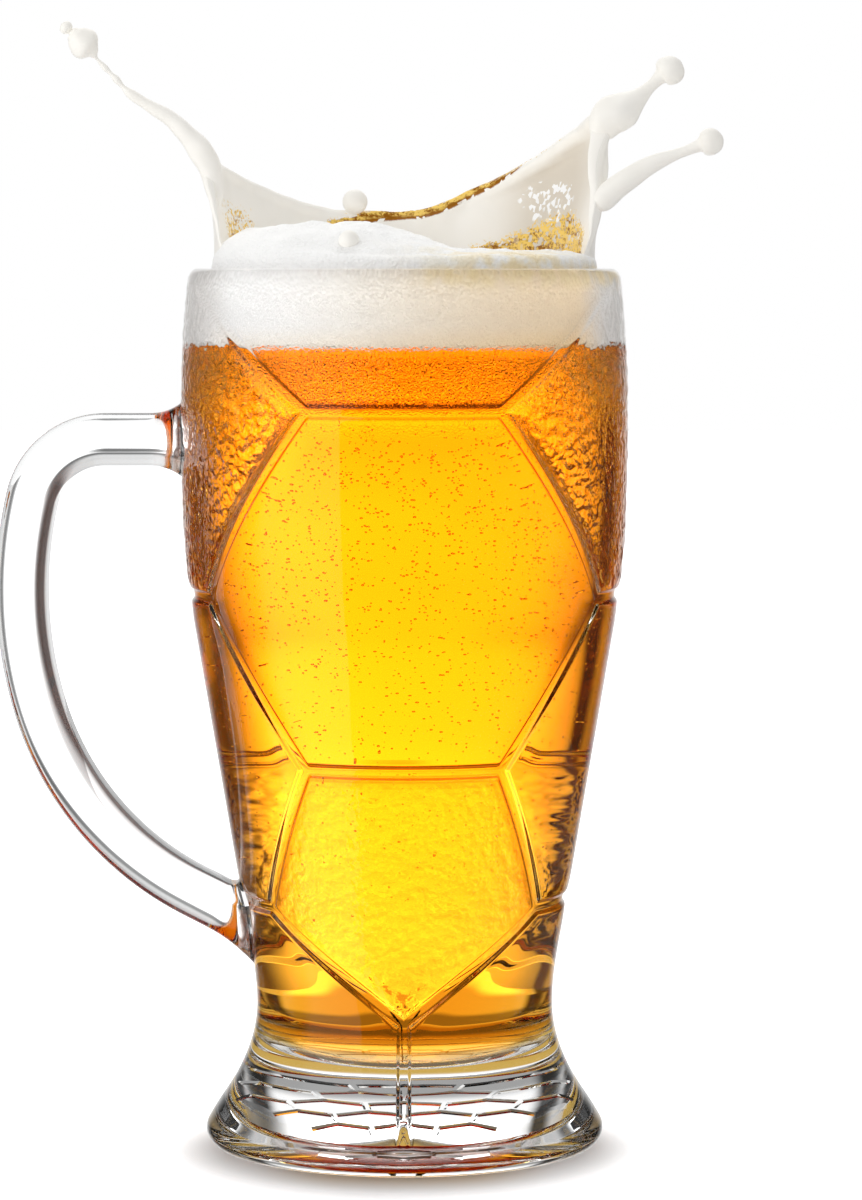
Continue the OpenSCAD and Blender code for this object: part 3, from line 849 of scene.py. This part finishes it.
def beer():
    """The inside's outline turned round the axis, a little into the glass that it wets, with bubbles.

    Bubbles are hollow balls that face inwards, scattered near the wall and thicker towards the head.
    """
    wall_z = np.linspace(WALL_Z, BEER_Z, 56)
    corner_r, corner_z = arc(CORNER_R - BOTTOM_ROUND, WALL_Z, BOTTOM_ROUND + WETTING, -88, -8, 10)
    r = np.concatenate([[6, 11], corner_r, radius(INSIDE, wall_z) + WETTING, [30, 20, 8]])
    z = np.concatenate([[corner_z[0]] * 2, corner_z, wall_z, [BEER_Z] * 3])
    angle = np.linspace(0, 360, BEER_COLUMNS, endpoint=False)
    points, faces = closed_grid(around(angle[None], r[:, None], z[:, None]))

    rng = np.random.default_rng(11)
    share = rng.uniform(0, 1, BUBBLES) ** BUBBLE_CROWD
    height = BUBBLE_LOW + (BEER_Z - BUBBLE_CLEAR - BUBBLE_LOW) * share
    depth = BUBBLE_DEPTH[0] + BUBBLE_DEPTH[1] * rng.uniform(0, 1, BUBBLES) ** 2
    size = rng.uniform(*BUBBLE_R, BUBBLES)
    centres = around(rng.uniform(0, 360, BUBBLES), radius(INSIDE, height) - depth, height)
    unit, tips = small_ball()
    bubbles = (centres[:, None] + size[:, None, None] * unit).reshape(-1, 3)
    starts = len(points) + len(unit) * np.arange(BUBBLES)
    hollow = (starts[:, None, None] + tips[:, ::-1]).reshape(-1, 3).tolist()
    make_piece("beer_body", np.concatenate([points, bubbles]), faces + hollow, AMBER_BEER,
               "drink", ["beer"])


# Head: heights are millimetres, and what it washes is told by angles and shares of its radius
HEAD_COLUMNS = 240
HEAD_SHOULDER = 1.6
DOME_H = 5.5
DOME_LEFT = 1.1
DOME_FALL = 0.95
DOME_ACROSS = (-8, 15)
FRONT_WIDE = 45
WASH = 0.85
WASH_AT = (36, 26)
WASH_OUT = (0.6, 0.85)
BRIM_AT = (MUG_H - 1.4, 2.2)
BRIM_ACROSS = (-2, 10)


def foam_head():
    """The head: a disc that fills the mouth, under a lumpy cap with round shoulders, lower on the right.

    The cap rises by 1 - (r/R)^10, or by 1 - (r/DOME_R)^4 towards the front, times DOME_H and a share that
    falls from DOME_LEFT by DOME_FALL to the right. The wall lies a little into the glass that it wets.
    """
    wall_z = np.linspace(BEER_Z - 0.2, MUG_H - 1.2, 20)
    wall_r = radius(INSIDE, wall_z) + WETTING
    edge_r, edge_z = arc(FOAM_R - HEAD_SHOULDER, FOAM_TOP - HEAD_SHOULDER, HEAD_SHOULDER, 0, 80, 6)
    top_r = np.linspace(FOAM_R - 2.2, 1.0, 36)
    r = np.concatenate([[8, 20, 30], wall_r, edge_r, top_r])
    z = np.concatenate([[wall_z[0]] * 3, wall_z, edge_z, np.full(len(top_r), FOAM_TOP)])
    angle = np.linspace(0, 360, HEAD_COLUMNS, endpoint=False)
    points = around(angle[None], r[:, None], z[:, None])
    top = (np.arange(len(r)) >= 3 + len(wall_r))[:, None]
    away = (angle + 180) % 360 - 180
    out = r[:, None] / FOAM_R
    front = hump(away, 0, FRONT_WIDE)[None]
    cap = (1 - front) * (1 - out ** 10) + front * np.maximum(1 - (r[:, None] / DOME_R) ** 4, 0)
    share = DOME_LEFT - DOME_FALL * smooth_step(*DOME_ACROSS, points[..., 0])
    flat = points * [1, 1, 0]
    lumps = 0.3 * ripple(flat, 9, seed=21) + 0.1 * ripple(flat, 3.5, seed=22)
    points[..., 2] += top * (DOME_H * share * cap + lumps * (1 - out ** 8))
    wash = WASH * hump(away, *WASH_AT)[None] * top * smooth_step(*WASH_OUT, out)
    brim = hump(z, *BRIM_AT)[:, None] * smooth_step(*BRIM_ACROSS, points[..., 0])
    marks = pole_marks({"gold": np.maximum(wash, brim * (out > 0.9))})
    grid, faces = closed_grid(points)
    make_piece("foam_cap", grid, faces, WHITE_FOAM, "drink", ["foam_head"], marks)


# Splash: the crown's edge, its sheet and roll, then beer, painted shade and painted glints by angle and
# height
CROWN_RIGHT = 32.4
CROWN_LEFT = 22.4
CROWN_LOW = 11.4
CROWN_DIP = 190
CROWN_ENDS = (97, 264)
CROWN_FADE = 23
CROWN_REACH = 106
CROWN_LEAN = 4.0
CROWN_SUNK = 1.0
BELLY = 2.0
BELLY_END = (92, 125)
BELLY_AT = (0.6, 0.24)
RIGHT_END = (132, 168)
SHEET_THIN = 0.3
SHEET_MORE = 0.35
SHEET_FOOT = 0.6
ROLL = 0.25
ROLL_RIGHT = 2.1
LIP_DIP = 1.8
LIP_DIP_FROM = (188, 205)
LIP_FAINT_FROM = (108, 120)
LIP_FULL_FROM = (134, 150)
LIP_END = (203, 208)
DEEP_FROM = (125, 150)
POOL_FROM = (93, 100)
POOL_END = (152, 164)
POOL_CREST = (118, 22)
STAIN_AT = (249, 10)
STAIN_TOP = (8, 16)
SHADE_FROM = (90, 118)
GLINT_AT = (127, 19)
GLINT_H = (13.5, 6)


def crown_height(angle):
    """Height of the crown's edge above the head's edge: two smooth climbs from the dip at the back."""
    right = angle < CROWN_DIP
    side = np.where(right, CROWN_RIGHT, CROWN_LEFT)
    reach = np.where(right, (CROWN_DIP - angle) / (CROWN_DIP - 90), (angle - CROWN_DIP) / (270 - CROWN_DIP))
    past = np.maximum(np.maximum(CROWN_ENDS[0] - angle, angle - CROWN_ENDS[1]), 0)
    climb = CROWN_LOW + (side - CROWN_LOW) * smooth_step(0, 1, reach) - (FOAM_TOP - MUG_H)
    return np.maximum(climb * smooth_step(0, 1, 1 - past / CROWN_FADE), 0.5)


def crown_middle(angle, height, share):
    """Distance from the axis to the middle of the crown's sheet at a share of its height.

    The sheet leans out with the 1.5th power of the share, and bellies out on the right.
    """
    belly = BELLY * (1 - smooth_step(*BELLY_END, angle)) * hump(share, *BELLY_AT)
    return CROWN_R + (CROWN_LEAN * share ** 1.5 + belly) * height / CROWN_RIGHT


def crown_marks(angle, level, below, inner, right):
    """Where the crown shows beer, where that runs deep, and where the sheet gets painted shade or painted
    glints.

    Beer lies along the upper edge at the back, in a pool at the inside's foot on the right, and in a
    stain on the left. Level is a height above the rim, and below a depth under the crown's edge.
    """
    dip = LIP_DIP * smooth_step(*LIP_DIP_FROM, angle)
    lip = 0.28 * smooth_step(*LIP_FAINT_FROM, angle) + 0.72 * smooth_step(*LIP_FULL_FROM, angle)
    lip = lip * 1.2 * hump(below, dip + 0.8, 1.15) * (1 - smooth_step(*LIP_END, angle))
    deep = hump(below, dip + 1.9, 0.8) * smooth_step(*DEEP_FROM, angle)
    crest = 6 + 6.5 * hump(angle, *POOL_CREST)
    pool = inner * smooth_step(*POOL_FROM, angle) * (1 - smooth_step(*POOL_END, angle))
    pool = pool * (1 - smooth_step(crest - 3, crest + 1, level))
    stain = inner * hump(angle, *STAIN_AT) * (1 - smooth_step(*STAIN_TOP, level))
    # Painted shade on the sheet's inside below the roll, strongest on the right.
    shade = inner * (0.05 + 0.95 * right ** 2) * smooth_step(0.72, 1, below / (2.8 + 2.0 * right))
    shade = shade * smooth_step(*SHADE_FROM, angle) * (1 - 0.4 * lip)
    # Painted glints on the right side's inside.
    painted_glint = inner * hump(angle, *GLINT_AT) * hump(level, *GLINT_H)
    gold = np.maximum(np.maximum(lip, 0.8 * pool), 0.75 * stain)
    return {"gold": gold, "shade": shade, "painted_glint": painted_glint, "deep": deep}


def splash_crown():
    """A sheet round the back: its section runs up the outside and down the inside of a leaning line.

    Half its thickness is SHEET_THIN at the two ends and SHEET_MORE thicker between, plus a foot that dies
    away with the cube of the height, plus a roll along the upper edge, thick on the right side's inside
    and slight elsewhere. The edge is rounded by a square root.
    """
    steps, half = 260, 34
    reach = np.sin(np.linspace(-np.pi / 2, np.pi / 2, steps))[:, None]
    angle = 180 + CROWN_REACH * reach
    height = crown_height(angle)
    up = 0.5 - 0.5 * np.cos(np.linspace(0, np.pi, half))
    share = np.concatenate([up, up[::-1]])[None]
    inner = np.concatenate([np.zeros(half), np.ones(half)])[None]
    below = (1 - share) * height
    right = 1 - smooth_step(*RIGHT_END, angle)
    whole = smooth_step(-12, 2, np.minimum(angle - 90, 270 - angle))
    roll = whole * (ROLL + ROLL_RIGHT * right * inner) * hump(below, 0, 2.0 + 2.4 * right, 6)
    thick = SHEET_THIN + SHEET_MORE * whole + SHEET_FOOT * (1 - share) ** 3 + roll
    thick *= np.sqrt(np.clip(below / (0.8 + 1.0 * right), 0, 1))
    r = crown_middle(angle, height, share) + (1 - 2 * inner) * thick
    z = FOAM_TOP - CROWN_SUNK + share * (height + CROWN_SUNK)
    flat = around(angle, r, z)
    waves = share * (0.45 * ripple(flat, 13, seed=31) + 0.12 * ripple(flat, 5, seed=32))
    points = around(angle, r + waves, z + 0.5 * waves)
    marks = crown_marks(angle, z - MUG_H, below, inner, right)
    marks = pole_marks({name: values[:, ::-1] for name, values in marks.items()})
    grid, faces = closed_grid(points[:, ::-1])
    make_piece("crown_sheet", grid, faces, SPLASHED_FOAM, "drink", ["splash_crown"], marks)


def smooth_line(stops, count):
    """Evenly numbered places on a Catmull-Rom curve through stops, which may hold radii too."""
    stops = np.asarray(stops, float)
    ends = np.concatenate([[2 * stops[0] - stops[1]], stops, [2 * stops[-1] - stops[-2]]])
    at = np.linspace(0, len(stops) - 1, count)
    i = np.minimum(at.astype(int), len(stops) - 2)
    t = (at - i)[:, None]
    a, b, c, d = (ends[i + k] for k in range(4))
    return b + 0.5 * t * (c - a + t * (2 * a - 5 * b + 4 * c - d + t * (3 * (b - c) + d - a)))


JET_THIN = 0.16
JET_COLUMNS = 24
JET_UNEVEN = 0.05


def jet(name, angle, stops, node, seed):
    """A jet of foam in the upright plane at an angle: rings along a curve of distance, height, radius.

    Rings are closed at both ends by poles, and soft ripples make the jet's thickness uneven.
    """
    r, z, size = smooth_line(stops, 12 * len(stops)).T
    size = np.maximum(size, JET_THIN)
    ahead = np.gradient(np.stack([r, z], -1), axis=0)
    ahead /= np.linalg.norm(ahead, axis=1, keepdims=True)
    turn = np.linspace(0, 2 * np.pi, JET_COLUMNS, endpoint=False)[None]
    lift, aside = size[:, None] * np.cos(turn), size[:, None] * np.sin(turn)
    ring_r = r[:, None] - lift * ahead[:, 1:2]
    ring_z = z[:, None] + lift * ahead[:, 0:1]
    a = math.radians(angle)
    x = ring_r * math.sin(a) + aside * math.cos(a)
    y = -ring_r * math.cos(a) + aside * math.sin(a)
    rows = np.stack([x, y, ring_z], -1)
    middle = rows.mean(1, keepdims=True)
    rows = middle + (rows - middle) * (1 + JET_UNEVEN * ripple(rows, 6, seed)[..., None])
    points, faces = closed_grid(rows)
    make_piece(name, points, faces, SPLASHED_FOAM, "drink", [node])


def bead_stops(r, z, lean, size, last=8):
    """Stops that draw a round bead of a size on a jet that leans upwards by an angle."""
    a = np.radians([150, 120, 90, 60, 35, last])
    c, s = math.cos(math.radians(lean)), math.sin(math.radians(lean))
    return [[r + size * math.cos(t) * c, z + size * math.cos(t) * s, size * math.sin(t)] for t in a]


LEFT_JET = [
    [37.0, 188.0, 0.4], [37.6, 190.0, 1.6], [38.6, 195.0, 2.4], [41.5, 200.2, 2.3], [45.9, 204.6, 1.7],
    [50.5, 207.6, 1.25], [54.3, 210.0, 1.0], [56.0, 211.6, 0.45], [57.2, 212.9, 0.75], [58.4, 214.2, 0.4],
    [59.6, 215.4, 0.6], [61.2, 217.2, 0.35],
] + bead_stops(63.9, 220.2, 45, 3.1, last=25) + bead_stops(67.2, 223.2, 42, 1.25)
UPPER_JET = [
    [38.2, 200.5, 0.6], [39.2, 202.6, 2.6], [41.0, 205.2, 3.8], [43.6, 207.0, 3.6], [46.4, 209.2, 2.3],
    [48.8, 211.4, 1.3],
] + bead_stops(52.9, 214.9, 38, 2.9)
LOWER_JET = [
    [37.4, 187.0, 0.6], [38.6, 188.4, 2.0], [41.0, 190.4, 2.5], [44.5, 193.3, 2.2], [48.5, 195.6, 1.8],
    [52.5, 197.4, 1.4], [56.0, 198.8, 1.1],
] + bead_stops(60.6, 200.5, 18, 2.7)

EDGE_BEAD_ANGLE = 196.0
EDGE_BEAD_R = 2.6
CAP_BEAD_ANGLE = -20
CAP_BEAD_OUT = 0.9
CAP_BEAD_R = 2.0


def foam_beads():
    """Two drops: balls on a grid of latitudes, one on the crown's edge and one on the cap."""
    height = crown_height(np.array(EDGE_BEAD_ANGLE))
    edge_z = FOAM_TOP + float(height) + 0.85 * EDGE_BEAD_R
    edge = around(EDGE_BEAD_ANGLE, float(crown_middle(EDGE_BEAD_ANGLE, height, 1.0)), edge_z)
    cap_z = FOAM_TOP + DOME_H * (1 - CAP_BEAD_OUT ** 4) + 0.5 * CAP_BEAD_R
    cap = around(CAP_BEAD_ANGLE, CAP_BEAD_OUT * DOME_R, cap_z)
    level = np.radians(np.linspace(-80, 80, 15))[:, None]
    turn = np.linspace(0, 360, 28, endpoint=False)[None]
    ball = around(turn, np.cos(level), np.sin(level))
    points, faces = closed_grid(EDGE_BEAD_R * ball + edge)
    more, quads = closed_grid(CAP_BEAD_R * ball + cap)
    faces += [[k + len(points) for k in quad] for quad in quads]
    make_piece("foam_drops", np.concatenate([points, more]), faces, SPLASHED_FOAM, "drink",
               ["foam_beads"])


glass_body()
glass_handle()
beer()
foam_head()
splash_crown()
jet("left_jet", 268, LEFT_JET, "left_splash_arm", 41)
jet("upper_right_jet", 94, UPPER_JET, "upper_right_splash_arm", 42)
jet("lower_right_jet", 86, LOWER_JET, "lower_right_splash_arm", 43)
foam_beads()


def turns(low, high):
    """Two angles in degrees, as radians."""
    return math.radians(low), math.radians(high)


class Ray:
    """What kind of ray meets a stage surface: straight, mirrored, through glass, or lighting a matt one.

    A ray that lights a matt surface may come through glass on its way.
    """

    def __init__(self, start):
        outputs = start.node("ShaderNodeLightPath").socket.node.outputs
        through = Wire(start.tree, outputs["Is Transmission Ray"])
        self.lighting = Wire(start.tree, outputs["Diffuse Depth"]).math("MINIMUM", 1.0)
        self.camera = Wire(start.tree, outputs["Is Camera Ray"])
        self.mirrored = Wire(start.tree, outputs["Is Glossy Ray"]) * (1 - through) * (1 - self.lighting)
        self.through = through * (1 - self.lighting)
        self.lit_through = through * self.lighting


def stage_mesh(name, points, faces, material, *unseen):
    """A mesh that isn't part of the object, unseen by some kinds of ray."""
    mesh = bpy.data.meshes.new(name)
    mesh.from_pydata(points, [], faces)
    mesh.materials.append(material)
    add_object(name, mesh, *unseen)


def glow(start, light, colour=WHITE):
    """A surface that shines with a strength."""
    return start.node("ShaderNodeEmission", inputs={"Color": colour, "Strength": light})


# Floor: spans of distance from the axis, the shadow's middle, the painted shadow, and what rays through
# glass see
FLOOR_HALF = 4.0
FLOOR_FILL = 0.05
FLOOR_FAR_FILL = 0.8
FLOOR_FAR = (0.034, 0.060)
SHADOW_MIDDLE = (0, -0.012, 0)
PAINTED_SHADOW_SPAN = (0.037, 0.054)
FLOOR_MIDDLE = (0.012, 0.032)
FLOOR_GREY = (0.85, 0.85, 0.85, 1)
FLOOR_PAINTED_WARM_SHADOW = (0.42, 0.33, 0.23, 1)
FLOOR_PAINTED_GREY_SHADOW = (0.52, 0.51, 0.50, 1)
FLOOR_GLASS = 1.1
FLOOR_UNDER = (0.030, 0.038)
FLOOR_NEAR = (0.050, 0.058)
FLOOR_DARK = turns(28, 33)
FLOOR_DARK_SHARE = 0.9
FLOOR_LOBE = turns(18, 28)
FLOOR_BEHIND = (0.2, 0.28)
FLOOR_BACK = 1.8
PAINTED_SHADOW_UNDER_FOOT = (0.19, 0.15, 0.10, 1)
PAINTED_AMBER_CAUSTIC = (0.60, 0.39, 0.09, 1)


def floor():
    """A pale plane that keeps the lamps' shadows, with painted shadow in its colour: dark and warm by the
    foot's middle, grey by its sides, white further away.

    Through glass it glows instead, with painted light and shadow: a painted shadow under the foot, a
    painted amber caustic close to it, dark on the back left, bright far behind, and white elsewhere.
    """
    material, start = new_tree("pale_floor")
    place = object_place(start)
    x, y, _ = place.parts("ShaderNodeSeparateXYZ", 3)
    apart = start.node("ShaderNodeVectorMath", {"operation": "LENGTH"}, {0: place}, out="Value")
    ends = {0: place, 1: SHADOW_MIDDLE}
    from_shadow = start.node("ShaderNodeVectorMath", {"operation": "DISTANCE"}, ends, out="Value")
    ray = Ray(start)
    fill = ray.camera * (FLOOR_FILL + FLOOR_FAR_FILL * from_shadow.rise(*FLOOR_FAR))
    # Painted shadow: the floor's colour is dark and warm by the foot's middle and grey by its sides.
    middle = 1 - x.math("ABSOLUTE").rise(*FLOOR_MIDDLE)
    shade = middle.blend(FLOOR_PAINTED_GREY_SHADOW, FLOOR_PAINTED_WARM_SHADOW)
    colour = apart.rise(*PAINTED_SHADOW_SPAN).blend(shade, FLOOR_GREY)
    matt = start.node("ShaderNodeBsdfDiffuse", inputs={"Color": colour})
    lit = start.node("ShaderNodeAddShader", inputs={0: matt, 1: glow(start, fill)})
    # Seen through glass the floor glows: a painted shadow under the foot and a painted amber caustic close
    # to it.
    amber = apart.rise(*FLOOR_UNDER).blend(PAINTED_SHADOW_UNDER_FOOT, PAINTED_AMBER_CAUSTIC)
    turn = x.math("ARCTAN2", y)
    # Painted shade on the back left and painted light far behind, in the same glow.
    dark = (-turn).rise(*FLOOR_DARK) * y.rise(0.0, 0.05)
    bright = (1 - turn.math("ABSOLUTE").rise(*FLOOR_LOBE)) * apart.rise(*FLOOR_BEHIND)
    light = FLOOR_GLASS * (1 + FLOOR_BACK * bright) * (1 - FLOOR_DARK_SHARE * dark)
    pale = glow(start, light, apart.rise(*FLOOR_NEAR).blend(amber, WHITE))
    show(start, start.node("ShaderNodeMixShader", inputs={0: ray.through, 1: lit, 2: pale}))
    h = FLOOR_HALF
    corners = [(-h, -h, 0), (h, -h, 0), (h, h, 0), (-h, h, 0)]
    stage_mesh("floor", corners, [(0, 1, 2, 3)], material, "glossy")


def stage_ring(name, material, r, low, high, unseen):
    """An open ring round the mug that the camera, matt surfaces and one more kind of ray don't see."""
    material.cycles.emission_sampling = "NONE"
    turn = np.linspace(0, 2 * np.pi, 128, endpoint=False)
    foot = np.stack([r * np.cos(turn), r * np.sin(turn), low + 0 * turn], -1)
    points = np.concatenate([foot, foot + [0, 0, high - low]]).tolist()
    stage_mesh(name, points, grid_faces(2, len(turn)), material, "camera", "diffuse", "shadow", unseen)


def only_for(start, kind, light):
    """A glow of a strength for one kind of ray, and nothing for the others."""
    clear = start.node("ShaderNodeBsdfTransparent")
    show(start, start.node("ShaderNodeMixShader", inputs={0: kind, 1: clear, 2: glow(start, light)}))


LIGHT_R = 0.32
LIGHT_LOW_EDGE = 0.0005
LIGHT_H = 0.9
LIGHT_PEAK = 4.5
LIGHT_FRONT = 0.4
LIGHT_SIDE = 0.8
LIGHT_DARK = 0.04
LIGHT_AIM = math.radians(2)
SPREAD_RIGHT = math.radians(21)
SPREAD_LEFT = math.radians(25)
LEFT_EDGE = turns(28.5, 32.5)
BEHIND = (-0.05, 0.05)
SIDE_RIGHT = turns(32, 46)
SIDE_RIGHT_LOW = 0.2
SIDE_LEFT = turns(36, 44)
SIDE_LEFT_LOW = 0.75
SIDE_FRONT = turns(18, 34)
SIDE_TOP = (0.125, 0.16)
FAR_RIGHT = turns(56, 68)
LIGHT_LOW = (-0.02, 0.11)
LIGHT_FOOT = 0.42
LIGHT_TOP = (0.114, 0.162)
LIGHT_FADE = 0.94
UPPER_PALE = 0.7
UPPER_LEFT = turns(9, 15)
UPPER_FROM = (0.17, 0.22)
UPPER_ALL = (0.175, 0.215)


def light_ring():
    """A tent that only rays through the glass see: one tall soft light behind, and pale sides.

    With a the angle from straight behind, the light is a dark level, plus a peak times exp(-(a/spread)^3)
    to the right and exp(-(a/spread)^2) to the left, where it has an edge, plus a smooth step towards each
    side that is brighter above the beer, plus a step on the far right below that, plus a pale band high
    up behind, which starts lower on the left. The peak fades towards the table and nearly ends above the
    beer, and it is lower in front, behind the eye.
    """
    material, start = new_tree("light_ring")
    x, y, z = place_parts(start)
    turn = x.math("ARCTAN2", y.math("ABSOLUTE"))
    away = turn - LIGHT_AIM
    right = away.math("MAXIMUM", 0.0) * (1 / SPREAD_RIGHT)
    left = away.math("MINIMUM", 0.0) * (1 / SPREAD_LEFT)
    lobe = (-right * right * right - left * left).math("EXPONENT")
    lobe = lobe * (1 - (-turn).rise(*LEFT_EDGE))
    tall = z.rise(*LIGHT_LOW).between(LIGHT_FOOT, 1) * (1 - LIGHT_FADE * z.rise(*LIGHT_TOP))
    behind = y.rise(*BEHIND)
    peak = LIGHT_PEAK * behind.between(LIGHT_FRONT, 1)
    upper = z.rise(*SIDE_TOP)
    back_side = turn.rise(*SIDE_RIGHT) * upper.between(SIDE_RIGHT_LOW, 1)
    back_side = back_side + (-turn).rise(*SIDE_LEFT) * upper.between(SIDE_LEFT_LOW, 1)
    above = ((-turn).rise(*UPPER_LEFT) * z.rise(*UPPER_FROM)).math("MAXIMUM", z.rise(*UPPER_ALL))
    back_side = back_side + UPPER_PALE * above + (1 - upper) * turn.rise(*FAR_RIGHT)
    front_side = turn.math("ABSOLUTE").rise(*SIDE_FRONT)
    side = behind * back_side + (1 - behind) * front_side
    only_for(start, Ray(start).through, LIGHT_DARK + peak * lobe * tall + LIGHT_SIDE * side)
    stage_ring("light_ring", material, LIGHT_R, LIGHT_LOW_EDGE, LIGHT_H, "glossy")


CUFF_R = 0.055
CUFF_LOW = 0.002
CUFF_HIGH = 0.0235
CUFF_WHITE = 1.1
CUFF_GREY = 0.045
CUFF_STREAK = 0.5
CUFF_DIM = (0.011, 0.016)
CUFF_FOOT = 0.35
CUFF_OPEN = turns(4, 7.5)
STREAK_AT = math.radians(17)
STREAK_WIDE = math.radians(3)


def foot_cuff():
    """A low band round the foot that only rays through the glass see: white ahead, grey to each side.

    With a the angle to the nearest of the four quarters, it is white up to CUFF_OPEN and grey beyond,
    with one paler streak of exp(-((a - at)/wide)^2). It is dimmer towards the table.
    """
    material, start = new_tree("foot_cuff")
    x, y, z = place_parts(start)
    turn = x.math("ABSOLUTE").math("ARCTAN2", y.math("ABSOLUTE"))
    apart = turn.math("MINIMUM", math.pi / 2 - turn)
    aside = (apart - STREAK_AT) * (1 / STREAK_WIDE)
    grey = CUFF_GREY + CUFF_STREAK * (-aside * aside).math("EXPONENT")
    light = apart.rise(*CUFF_OPEN).between(CUFF_WHITE, grey) * z.rise(*CUFF_DIM).between(CUFF_FOOT, 1)
    only_for(start, Ray(start).through, light)
    stage_ring("foot_cuff", material, CUFF_R, CUFF_LOW, CUFF_HIGH, "glossy")


GLOSS_R = 0.7
GLOSS_LOW = -1.2
GLOSS_HIGH = 1.6
GLOSS_BOX = 0.5
GLOSS_DIM = 0.015
GLOSS_BACK = 0.85
GLOSS_FROM = math.radians(31)
GLOSS_SHARP = 0.02
GLOSS_TO = math.radians(86)
GLOSS_SOFT = 0.25
GLOSS_GRAZING = turns(146, 166)


def gloss_ring():
    """What the glass mirrors: a tall soft box on the front left, the white behind, and a dim room."""
    material, start = new_tree("gloss_ring")
    x, y, _ = place_parts(start)
    left = (-x).math("ARCTAN2", -y)
    box = left.rise(GLOSS_FROM, GLOSS_FROM + GLOSS_SHARP) * (1 - left.rise(GLOSS_TO - GLOSS_SOFT, GLOSS_TO))
    back = left.math("ABSOLUTE").rise(*GLOSS_GRAZING)
    light = GLOSS_DIM + (GLOSS_BOX - GLOSS_DIM) * box + (GLOSS_BACK - GLOSS_DIM) * back
    only_for(start, Ray(start).mirrored, light)
    stage_ring("gloss_ring", material, GLOSS_R, GLOSS_LOW, GLOSS_HIGH, "transmission")


AMBIENT = 0.64
AMBIENT_RIGHT = 0.08
AMBIENT_UP = 0.06
GLASS_VIEW = 2.4
LIT_BOOST = 2.5
LIT_LEVEL = 0.55
LIT_RIGHT = 0.15


def surroundings():
    """White where the eye looks, straight or through glass, and a soft light, most from the upper right."""
    world = bpy.data.worlds.new("studio")
    bpy.context.scene.world = world
    world.use_nodes = True
    world.node_tree.nodes.clear()
    start = Wire(world.node_tree)
    ray = Ray(start)
    x, _, z = start.node("ShaderNodeTexCoord", out="Generated").parts("ShaderNodeSeparateXYZ", 3)
    ambient = AMBIENT + AMBIENT_RIGHT * x + AMBIENT_UP * z
    seen = GLASS_VIEW * ray.through + GLOSS_DIM * ray.mirrored + ray.camera
    level = seen + ambient * ray.lighting + LIT_BOOST * (LIT_LEVEL + LIT_RIGHT * x) * ray.lit_through
    background = start.node("ShaderNodeBackground", inputs={"Color": WHITE, "Strength": level})
    start.node("ShaderNodeOutputWorld", inputs={"Surface": background})


def soft_box(name, place, aim, width, height, radiance):
    """A rectangular lamp that the camera doesn't see, aimed at a point, of an even radiance."""
    data = bpy.data.lights.new(name, "AREA")
    data.shape = "RECTANGLE"
    data.size, data.size_y = width, height
    data.energy = radiance * math.pi * width * height
    lamp = add_object(name, data, "camera", "glossy", "transmission")
    lamp.location = place
    lamp.rotation_euler = (Vector(aim) - Vector(place)).to_track_quat("-Z", "Y").to_euler()


# Camera: the photo's size and places in pixels, and millimetres for one pixel at the mug's axis
PIXEL = 0.2
VIEW_DISTANCE = 900.0
AXIS_PIXEL = 404.5
EYE_PIXEL = 270.0
TABLE_PIXEL = 1147.0
PHOTO_W, PHOTO_H = 862, 1200


def camera():
    """The photo's eye: level with the rim, tilted down to the middle of the frame."""
    data = bpy.data.cameras.new("camera")
    eye = add_object("camera", data)
    x = (PHOTO_W / 2 - AXIS_PIXEL) * PIXEL
    z = (TABLE_PIXEL - EYE_PIXEL) * PIXEL
    drop = (PHOTO_H / 2 - EYE_PIXEL) * PIXEL
    tilt = math.atan2(drop, VIEW_DISTANCE)
    eye.location = (x * MM, -VIEW_DISTANCE * MM, z * MM)
    eye.rotation_euler = (math.pi / 2 - tilt, 0, 0)
    data.sensor_width = 36.0
    data.lens = data.sensor_width * math.hypot(VIEW_DISTANCE, drop) / (PHOTO_H * PIXEL)
    bpy.context.scene.camera = eye


floor()
surroundings()
soft_box("left_box", (-0.72, -0.42, 0.35), (0, 0, 0.12), 0.85, 1.0, 1.4)
soft_box("back_box", (0.1, 0.7, 0.85), (0, 0, 0.1), 0.9, 0.9, 2.4)
light_ring()
foot_cuff()
gloss_ring()
camera()

scene = bpy.context.scene
scene.view_settings.view_transform = "Standard"
scene.cycles.max_bounces = 24
scene.cycles.transmission_bounces = 24
scene.cycles.transparent_max_bounces = 16
scene.cycles.glossy_bounces = 8
scene.cycles.diffuse_bounces = 6
